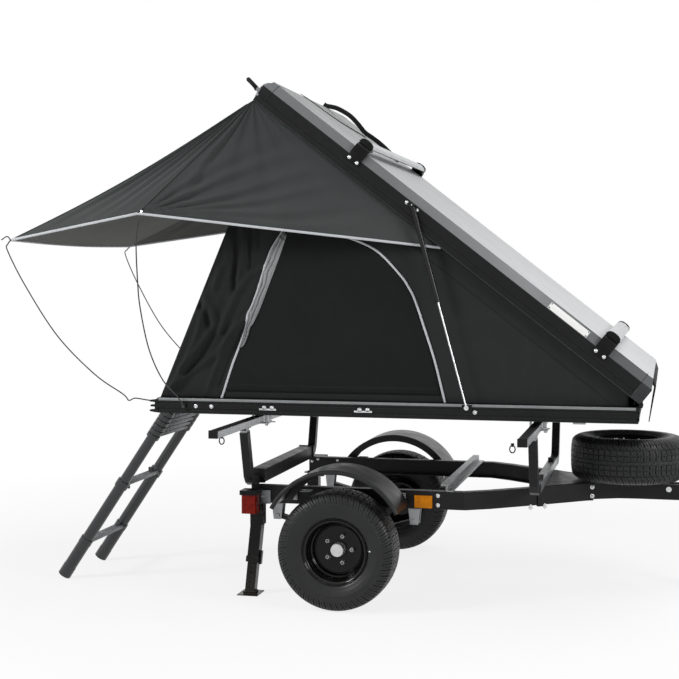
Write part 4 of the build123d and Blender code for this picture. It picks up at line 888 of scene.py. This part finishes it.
for side, sign in (("right", -1), ("left", 1)):
    centre = pt(0, sign * WHEEL_Y, TYRE_R)
    tyre("tyre_" + side, side + "_tyre", centre, (0, sign, 0), "wheel_" + side)
    face = Vector((0, sign, 0))
    lean = Vector((0.75, sign, 0.1))
    valve = centre + Vector((0.130, sign * 0.056, 0.010))
    lathe("hub_turned_" + side, [(0.020, -0.034), (0.048, -0.034), (0.048, -0.020), (0.036, -0.014), (0.036, 0.0005),
        (0.029, 0.0035), (0.0288, 0.0355), (0.0272, 0.0385)], centre, face, 40)
    lathe("hub_collars_" + side, [(0.0300, -0.001), (0.0300, 0.0035), (0.0372, 0.0025), (0.0376, -0.002)], centre,
        face, 40, capped=False)
    lathe("valve_" + side, [(0.005, 0), (0.0045, 0.018), (0.003, 0.020), (0.003, 0.036)], valve, lean, 10)
    lathe("valve_cap_" + side, [(0.0042, 0.034), (0.0044, 0.047), (0.003, 0.049)], valve, lean, 10)
    for i in range(5):
        turn = math.radians(72 * i)
        spot = centre + Vector((math.cos(turn), 0, math.sin(turn))) * LUG_RADIUS / 1000
        lathe("hub_turned_" + side, [(0.0115, -0.003), (0.0115, 0.001), (0.0095, 0.004), (0.0095, 0.0135),
            (0.0085, 0.0151)], spot, face, 6, phase=i)
        # A dark disc in each nut's open end: painted shade of its hollow.
        lathe("lug_holes_" + side, [(0.0058, 0.0151), (0.0058, 0.0157), (0.004, 0.0159)], spot, face, 14)
        lathe("lug_tips_" + side, [(0.0032, 0.0157), (0.0030, 0.0173), (0.001, 0.0177)], spot, face, 12)
    lathe("axle_beam", [(0.014, -0.060), (0.014, 0.024), (0.012, 0.026)], centre, face, 32)
slab("axle_beam", (-22.5, 22.5), (-650, 650), (238, 283), 0.004)
tyre("tyre_spare", "spare_tyre", pt(*SPARE_AT), (0, 0, 1), "chassis")

# Rims: rolled lip, stepped well and flat disc, turned as one piece
RIM = [
    (36.2, -2), (70, -2), (90, 0), (97, 4), (102, 4.5), (105, 1), (107.5, 2), (109.5, 10), (110.5, 22), (113, 27.5),
    (118, 29), (120.5, 33),
    (121.5, 47), (123.5, 52), (126, 54), (127, 60), (127.8, 69), (130, 74.4), (134.5, 77), (139, 79.4), (141.4, 82.6),
    (143, 85.4), (144.4, 85.8), (145, 84.4),
    (144.6, 81.6), (139, 76), (134.5, 72.6), (131, 66), (130.4, 52), (125, 47), (124, 28), (117, 23), (114.5, 2),
    (112, -8), (112, -38), (130.8, -55), (131, -77),
    (145, -82), (145, -86), (141, -86), (127, -78), (127, -54), (108, -37), (108, -8), (97, -2), (90, -5), (70, -7),
    (36.2, -7),
]


def rim(name, node_name, centre, axle, body):
    """A rim turned about its axle, bored through where the hub stands."""
    x, y, z = frame_along(axle)
    sides, points = 96, []
    for radius, height in RIM:
        for i in range(sides):
            a = 2 * math.pi * i / sides
            points.append(Vector(centre) + z * height / 1000 + (x * math.cos(a) + y * math.sin(a)) * radius / 1000)
    faces = grid_faces(len(RIM), sides, closed=True)
    last = (len(RIM) - 1) * sides
    faces += [(last + i, last + (i + 1) % sides, (i + 1) % sides, i) for i in range(sides)]
    made = mesh_piece(name, points, faces, RIM_BLACK)
    made.data.set_sharp_from_angle(angle=math.radians(50))
    settle(made)
    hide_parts(node_name)
    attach(made, body)


for side, sign in (("right", -1), ("left", 1)):
    rim("rim_" + side, side + "_rim", pt(0, sign * WHEEL_Y, TYRE_R), (0, sign, 0), "wheel_" + side)
rim("rim_spare", "spare_rim", pt(*SPARE_AT), (0, 0, 1), "chassis")
for i in range(5):
    turn = math.radians(72 * i + 40)
    spot = pt(SPARE_AT[0] + LUG_RADIUS * math.cos(turn), LUG_RADIUS * math.sin(turn), 672)
    lathe("spare_studs", [(0.0045, -0.062), (0.0045, 0.020), (0.004, 0.022)], spot, (0, 0, 1), 12)
    lathe("spare_studs", [(0.0095, -0.060), (0.0095, -0.048), (0.008, -0.046)], spot, (0, 0, 1), 6)

# ---------------------------------------------------------------- lid details
for sign in (-1, 1):
    for back in LID_BAR_BACKS:
        for shift in (-21, 21):
            bolt("lid_bolts", lid_pt(back + shift, sign * 682.5, 64), (0, sign, 0), 5.2)
    bolt("lid_bolts", pt(322, sign * 701.5, 1752), (0, sign, 0), 3, washer=False)
    for back in (1293, 1238):
        bolt("lid_bolts", lid_pt(back, sign * 674.7, 63), (0, sign, 0), 5.2)
    # Thin light lip along the lid's lower edge, and the joints where the corner pieces meet the profile
    tube("lid_lip", [lid_pt(back, sign * 675, 3) for back in (20, 700, 1400, 2106)], 0.0014, 8)
    for back in (52, 2062):
        low, mid, high = lid_pt(back, sign * 674.9, 4), lid_pt(back, sign * 674.9, 78), lid_pt(back, sign * 651, 117.3)
        tube("lid_joints", [low, mid, high], 0.0009, 6)
        tube("lid_joints", [high, lid_pt(back, sign * 560, 117.3)], 0.0009, 6)
    corner = [(0, 0), (0.046, 0.0), (0.049, 0.006), (0.049, 0.066), (0.044, 0.073), (0, 0.073)]
    face = axes(lid_pt(50, sign * 674.6, 3), LID_REARWARD * sign, LID_UP, (0, sign, 0))
    solid_plate("lid_corner", [(-sign * x, up) for x, up in corner], 0.0016, face, 0.0006)

# White plate on the right-hand bevel, blank, with a dark screw at each corner
bevel_out = (Vector((0, -39, 0)) / 1000 + LID_UP * 0.024).normalized()
bevel_up = (LID_UP * 0.039 + Vector((0, 0.024, 0))).normalized()
plate_at = lid_pt(445, -TENT_HALF + 24 * (13.5 / 39), 78 + 13.5)
place = axes(plate_at + bevel_out * 0.0004, -LID_REARWARD, bevel_up, bevel_out)
outline = [(-0.102, -0.014), (0.102, -0.014), (0.102, 0.019), (-0.102, 0.019)]
solid_plate("white_plate", outline, 0.0015, place, 0.0004)
for u in (-0.096, 0.096):
    for v in (-0.009, 0.014):
        lathe("plate_screws", [(0.003, 0.0015), (0.0028, 0.0028), (0.001, 0.003)], place @ Vector((u, v, 0)),
            bevel_out, 10)

# Grips that hold the lid's bars, each with a rounded cap over the bar's end
grip = [(0, 50), (-8, 52), (-8, 98), (2, 133), (18, 141.8), (62, 141.8), (62, 134), (32, 131), (16, 118), (0, 80)]
cap = [(-36, 147), (-28, 139.5), (28, 139.5), (36, 147), (29, 162), (16, 168), (0, 169.5), (-16, 168), (-29, 162)]
for back in LID_BAR_BACKS:
    for sign in (-1, 1):
        lay = axes(lid_pt(back + 34, sign * 674.4, 0), (0, -1, 0), LID_UP, -LID_REARWARD)
        solid_plate("bar_grips", [(y * sign / 1000, up / 1000) for y, up in grip], 0.068, lay, 0.0025)
        lay = axes(lid_pt(back, 645 if sign > 0 else -660, 0), LID_REARWARD, LID_UP, (0, 1, 0))
        solid_plate("bar_grips", [(x / 1000, up / 1000) for x, up in cap], 0.015, lay, 0.002)

# Bolts of the lid's end plate
for y in (-490, -210, 210, 490):
    for above in (26, 54):
        bolt("lid_cap_bolts", lid_pt(2142.5, y, above), LID_REARWARD, 5)

# Cast end cap behind the plate, dark sleeves on the latch hooks and the rubber flap over the hinges
cap = [(0, 0.002), (0.012, 0.002), (0.022, 0.016), (0.025, 0.050), (0.019, 0.080), (0.004, 0.098), (-0.012, 0.104),
    (-0.004, 0.079)]
solid_plate("lid_end_cap", cap, 1.22, axes(lid_pt(2118.5, 610, 0), LID_REARWARD, LID_UP, (0, -1, 0)), 0.0015)
for y in range(-560, 561, 140):
    lay = axes(lid_pt(2118.5, y, 0), LID_REARWARD, LID_UP, (0, -1, 0))
    rounded_block("lid_end_cap", (0, 0.012, 0), (0.0275, 0.072, 0.006), 0.001, lay)
hook = [(0.026, 0.0355), (0.040, 0.0412), (0.0845, 0.0472), (0.0908, 0.056), (0.0845, 0.0648), (0.042, 0.0588),
    (0.026, 0.0565)]
for y in (-620.2, 639.8):
    solid_plate("hook_sleeves", hook, 0.0196, axes(lid_pt(2117.5, y, 0), LID_REARWARD, LID_UP, (0, -1, 0)), 0.0006)
flap = [(1325.5, 1020), (1330, 1018), (1341, 985), (1316, 842), (1312, 842), (1335, 985), (1325.5, 1002)]
lay = axes((0, 0.62, 0), (1, 0, 0), (0, 0, 1), (0, -1, 0))
solid_plate("hinge_flap", [(pt(x, 0, 0).x, z / 1000) for x, z in flap], 1.24, lay, 0.0008)

# Loose webbing strap lying over the lid and standing in a loop behind the bar
line = [(2104, -160, 119), (2088, -144, 119), (2072, -96, 119), (2002, -61, 119), (1947, -16, 119), (1902, 82, 119),
    (1869, 235, 119), (1850, 330, 119)]
tube("lid_strap", smooth_line([lid_pt(*s) for s in line], 8), 0.0013, 8, flat=(0.010, LID_UP))
loop = [(2128, 350, 119), (2111, 350, 121), (2080, 350, 136), (2050, 350, 146), (1985, 350, 154), (1924, 350, 146),
    (1869, 350, 134), (1822, 350, 136), (1760, 350, 136), (1690, 350, 128), (1640, 350, 120)]
tube("lid_strap", smooth_line([lid_pt(*s) for s in loop], 8), 0.0014, 8, flat=(0.011, Vector((0.25, -0.9, 0.1))))

# ---------------------------------------------------------------- frame details
for sign in (-1, 1):
    out = (0, sign, 0)
    for z in (440, 482):
        bolt("frame_bolts", pt(408, sign * RAIL_FACE, z), out, 6, hexed=True)
    for x, z in ((216, 479), (196, 462)):
        bolt("frame_bolts", pt(x, sign * RAIL_FACE, z), out, 5)
    for z in (443, 484):
        bolt("frame_bolts", pt(1057, sign * 118, z), (0.424, sign * 0.906, 0), 7, hexed=True)
    lathe("frame_bolts", [(0.008, 0), (0.0125, 0.001), (0.0125, 0.004), (0.008, 0.005)], pt(1398, sign * 55.2, 476),
        out, 20)
    for x, z in ((-434, 474), (-402, 487), (-297, 484)):
        bolt("frame_bolts", pt(x, sign * RAIL_INSIDE, z), (0, -sign, 0), 5)
    # Cap over the open end of the rear cross member
    slab("member_caps", (-486, -408), (sign * 440, sign * 445.5), (500.6, 567), 0.0015)
    # Light strip along the tray's top edge, and the fittings on its side
    slab("tray_seal", (-838, 1262), (sign * 669, sign * 675.8), (892.5, 904.8), 0.0026)
    for a, b in ((-365, -287), (65, 145)):
        depth = (sign * 673.8, sign * 677.2)
        slab("tray_plates", (a, b), depth, (858.5, 866.5), 0.0008)
        for share in (0.3, 0.75):
            x = a + (b - a) * share
            bolt("tray_bolts", pt(x, sign * 674.6, 871), out, 5.2)
            slab("tray_plates", (x - 9, x + 9), depth, (862, 876.5), 0.0008)
    for x in (-660, -587, 592):
        bolt("tray_bolts", pt(x, sign * 674.6, 870), out, 6)
    slab("tray_tabs", (1004, 1056), (sign * 640, sign * 672), (829.5, 837.3))
    # Hanging ring and screw clamp under each crossbar end
    y = sign * 940
    for x in (-450, 782):
        loop = [pt(x + 11 * math.sin(t * math.pi / 9), y + 3 * sign,
            752 - 15 * math.cos(t * math.pi / 9)) for t in range(19)]
        tube("bar_rings", loop, 0.0026, 8, ends=False)
        lathe("bar_rings", [(0.007, 0), (0.007, 0.006), (0.004, 0.008), (0.004, 0.014)], pt(x, y, 775), (0, 0, -1), 12)
    for x in (-323, 883):
        lathe("bar_clamps", [(0.005, 0), (0.005, 0.024), (0.011, 0.025), (0.011, 0.032), (0.004, 0.034)],
            pt(x, sign * 646, 836), (0, 0, -1), 6)
        tube("bar_clamps", [pt(x - 24, sign * 646, 806), pt(x + 24, sign * 646, 806)], 0.003, 8)
    # Strap and nuts that hold the front post to the rail
    lay = axes(pt(836, sign * 297, 0), (0.765 * sign, -0.645, 0), (0.645, sign * 0.765, 0), (0, 0, 1))
    rounded_block("post_straps", (-0.014, -0.010, 0.416), (0.014, 0.006, 0.560), 0.0015, lay)
    for x, y in ((797, 330), (856, 285)):
        nut = [(0.0045, -0.01), (0.0045, 0.002), (0.010, 0.002), (0.010, 0.009), (0.0045, 0.010), (0.004, 0.016)]
        lathe("frame_bolts", nut, pt(x, sign * y, 418.5), (0, 0, -1), 6)
    # Fender stay seen under its top
    slab("fender_stays", (-200, -150), (sign * 560, sign * 606), (492, 496))
    for x, z in ((171, 538), (196, 508)):
        bolt("fender_rivets", pt(x, sign * 640, z), (0.75, 0, 0.66), 5)

# Ladder: ribbed grey sleeves on the steps, dark gussets by the middle step
CLIMB = Vector((587, 0, 872)).normalized()
for z in (183, 466, 700, 722, 744, 766, 788, 810):
    x = -872 - (838 - z) * CLIMB.x / CLIMB.z
    group = "tread_low" if z == 183 else "tread_sleeves"
    half = 8.6 if z < 600 else 8.2
    slab(group, (x - 25, x + 25), (-383, -7), (z - half, z + half), 0.002)
    for rib in range(-3, 4):
        middle = x + rib * 6.5
        slab(group, (middle - 1.2, middle + 1.2), (-380, -10), (z + half - 0.4, z + half + 1.4), 0.0004)
for y in (-383, -7):
    x = -872 - (838 - 466) * CLIMB.x / CLIMB.z
    for way in (-1, 1):
        slab("ladder_gussets", (x + way * 26, x + way * 2), (y - 6, y + 6), (440, 492), 0.003)

# Awning rods: spring steel bent in long curves from the tray to the fly's corners
REAR_ROD = [(4, -54.5, -23), (70, -53.5, -17), (127.5, -52.5, -10), (158, -50.5, -20), (185, -48.5, 8),
    (317.5, -34.5, 98), (488.5, -12.5, 272), (632.5, 11.5, 499), (712, 27, 660), (706, 36, 692), (692, 40.5, 709),
    (706, 43.5, 726), (734, 43.5, 711)]
SIDE_ROD = [(-130.5, 16, -34), (-106.5, 25.5, 6), (-45.5, 59.5, 90), (-2.5, 105.5, 225), (15.5, 157.5, 401),
    (15.5, 187.5, 524), (9.5, 215.5, 695), (-6.5, 220.5, 793)]
for sign in (-1, 1):
    for path in (REAR_ROD, SIDE_ROD):
        spots = [pt(TENT_REAR - behind, sign * (TENT_HALF + out), 905 + above) for behind, out, above in path]
        line = smooth_line(spots, 10)
        tube("awning_wires", line, 0.0029, 10)
    slab("awning_wires", (-862, -842.4), (sign * 612, sign * 628), (875, 889))
    slab("awning_wires", (-720, -706), (sign * 674.4, sign * 694), (862, 876))

# Material, body (none for what goes with the fabric, which rides on the chassis) and the pieces that take them
GROUP_LOOKS = [
    (PIPING, None, "fly_piping wall_piping"), (FLY_OUT, None, "fly_seams"), (BRIGHT, None, "fly_rings"),
    (WALL_CLOTH, None, "wall_seams"),
    (BRIGHT, "lid", "lid_bolts lid_cap_bolts"), (PLATE_WHITE, "lid", "white_plate"), (CASTING, "lid", "lid_end_cap"),
    (PROFILE_BLACK, "lid", "plate_screws lid_joints"), (PLASTIC, "lid", "bar_grips hook_sleeves"),
    (STRAP_WEB, "lid", "lid_strap"), (RUBBER, "lid", "hinge_flap"), (DARK_CASTING, "lid", "lid_lip lid_corner"),
    (FRAME_BLACK, "chassis", "axle_beam member_caps post_straps"), (ROD_STEEL, "chassis", "awning_wires"),
    (BRIGHT, "chassis", "frame_bolts tray_plates tray_bolts fender_rivets"), (CASTING, "chassis", "tray_seal"),
    (ZINC, "chassis", "spare_studs tray_tabs bar_clamps fender_stays"), (RUBBER, "chassis", "bar_rings"),
    (TREAD_GREY, "chassis", "tread_sleeves"), (LADDER_BLACK, "chassis", "ladder_gussets"),
    (TREAD_GREY, "ladder_foot", "tread_low"),
]
for side in ("right", "left"):
    for material, kinds in (
            (RUBBER, "valve lug_holes"), (BRIGHT, "valve_cap"), (HUB_METAL, "hub_turned"), (RIM_BLACK, "hub_collars"),
            (ZINC, "lug_tips")):
        GROUP_LOOKS.append((material, "wheel_" + side, " ".join(kind + "_" + side for kind in kinds.split())))
LOOK_OF = {name: (material, body) for material, body, names in GROUP_LOOKS for name in names.split()}
STANDS_FOR = {
    "awning_wires": "awning_rods", "axle_beam": "axle", "hub_turned_right": "right_hub", "hub_turned_left": "left_hub",
    "bar_grips": "lid_clamps",
}
for name, (points, faces) in GROUPS.items():
    material, body = LOOK_OF[name]
    made = mesh_piece(name, points, faces, material)
    made.data.set_sharp_from_angle(angle=math.radians(40))
    if body:
        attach(made, body)
    if name in STANDS_FOR:
        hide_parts(STANDS_FOR[name])

# ---------------------------------------------------------------- soft pieces ride on the chassis
SOFT = [fly, walls] + [bpy.data.objects[n] for n in (
    "window_panel_right", "window_panel_left", "turned_flap_right", "turned_flap_left",
    "fly_piping", "fly_seams", "fly_rings", "wall_piping", "wall_seams")]
for piece in SOFT:
    for modifier in list(piece.modifiers):
        with bpy.context.temp_override(object=piece, active_object=piece, selected_objects=[piece]):
            bpy.ops.object.modifier_apply(modifier=modifier.name)
    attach(piece, "chassis")
    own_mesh(piece)
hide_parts("fly")
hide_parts("tent_walls")
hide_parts("mattress")
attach(mattress, "chassis")
for side in ("right", "left"):
    panel, flap = bpy.data.objects["window_panel_" + side], bpy.data.objects["turned_flap_" + side]

# ---------------------------------------------------------------- studio
def seen_ray(tree):
    """One where the camera, a reflection or a see-through surface looks, and nought for the light that falls."""
    paths = tree.nodes.new("ShaderNodeLightPath").outputs
    seen = paths["Is Camera Ray"]
    for name in ("Is Glossy Ray", "Is Transmission Ray"):
        seen = fed(tree, "ShaderNodeMath", seen, paths[name], operation="MAXIMUM").outputs[0]
    return seen


world = bpy.data.worlds.new("studio")
bpy.context.scene.world = world
world.use_nodes = True
tree = world.node_tree
background = tree.nodes["Background"]
background.inputs["Color"].default_value = (1, 1, 1, 1)
background.inputs["Strength"].default_value = 0.26
backdrop = node(tree, "ShaderNodeBackground", Color=(1, 1, 1, 1), Strength=1.0)
blend = fed(tree, "ShaderNodeMixShader", seen_ray(tree), background.outputs[0], backdrop.outputs[0])
tree.links.new(blend.outputs[0], tree.nodes["World Output"].inputs["Surface"])


def softbox(name, at, aim, size, power):
    light = bpy.data.lights.new(name, "AREA")
    light.shape = "RECTANGLE"
    light.size, light.size_y = size
    light.energy = power
    made = bpy.data.objects.new(name, light)
    made.location = at
    made.rotation_euler = (Vector(aim) - Vector(at)).to_track_quat("-Z", "Y").to_euler()
    bpy.context.scene.collection.objects.link(made)


softbox("key", (-5.2, -4.4, 4.4), (-0.3, 0, 0.9), (1.8, 1.8), 260)
softbox("top", (1.5, 0.5, 6.0), (0.2, 0, 0.8), (4, 3.4), 150)
softbox("front", (5.4, -3.0, 2.6), (0.4, 0, 0.7), (1.7, 1.7), 130)

# Pale floor that keeps the object's shadow and runs out to white
floor_material, tree, shader = new_material("floor_paper")
place = tree.nodes.new("ShaderNodeTexCoord").outputs["Object"]
tint = mixed(tree, noise_node(tree, place, 900, 2.0), (0.92, 0.92, 0.92), (0.95, 0.95, 0.95))
tree.links.new(tint, shader.inputs["Base Color"])
shader.inputs["Roughness"].default_value = 0.9
shader.inputs["Specular IOR Level"].default_value = 0.1
glow = node(tree, "ShaderNodeEmission", Strength=1.0)
reach = fed(tree, "ShaderNodeVectorMath", place, operation="LENGTH")
far = ramp(tree, reach.outputs["Value"], 0.82, 1.0, 2.0, 4.2)
seen = fed(tree, "ShaderNodeMath", far, seen_ray(tree), operation="MULTIPLY")
joined = fed(tree, "ShaderNodeMixShader", seen.outputs[0], shader.outputs[0], glow.outputs[0])
output = next(n for n in tree.nodes if n.type == "OUTPUT_MATERIAL")
tree.links.new(joined.outputs[0], output.inputs["Surface"])
corners = [(30 * math.cos(i * math.pi / 24), 30 * math.sin(i * math.pi / 24), -0.0005) for i in range(48)]
floor = mesh_piece("floor", corners, [tuple(range(48))], floor_material, smooth=False)
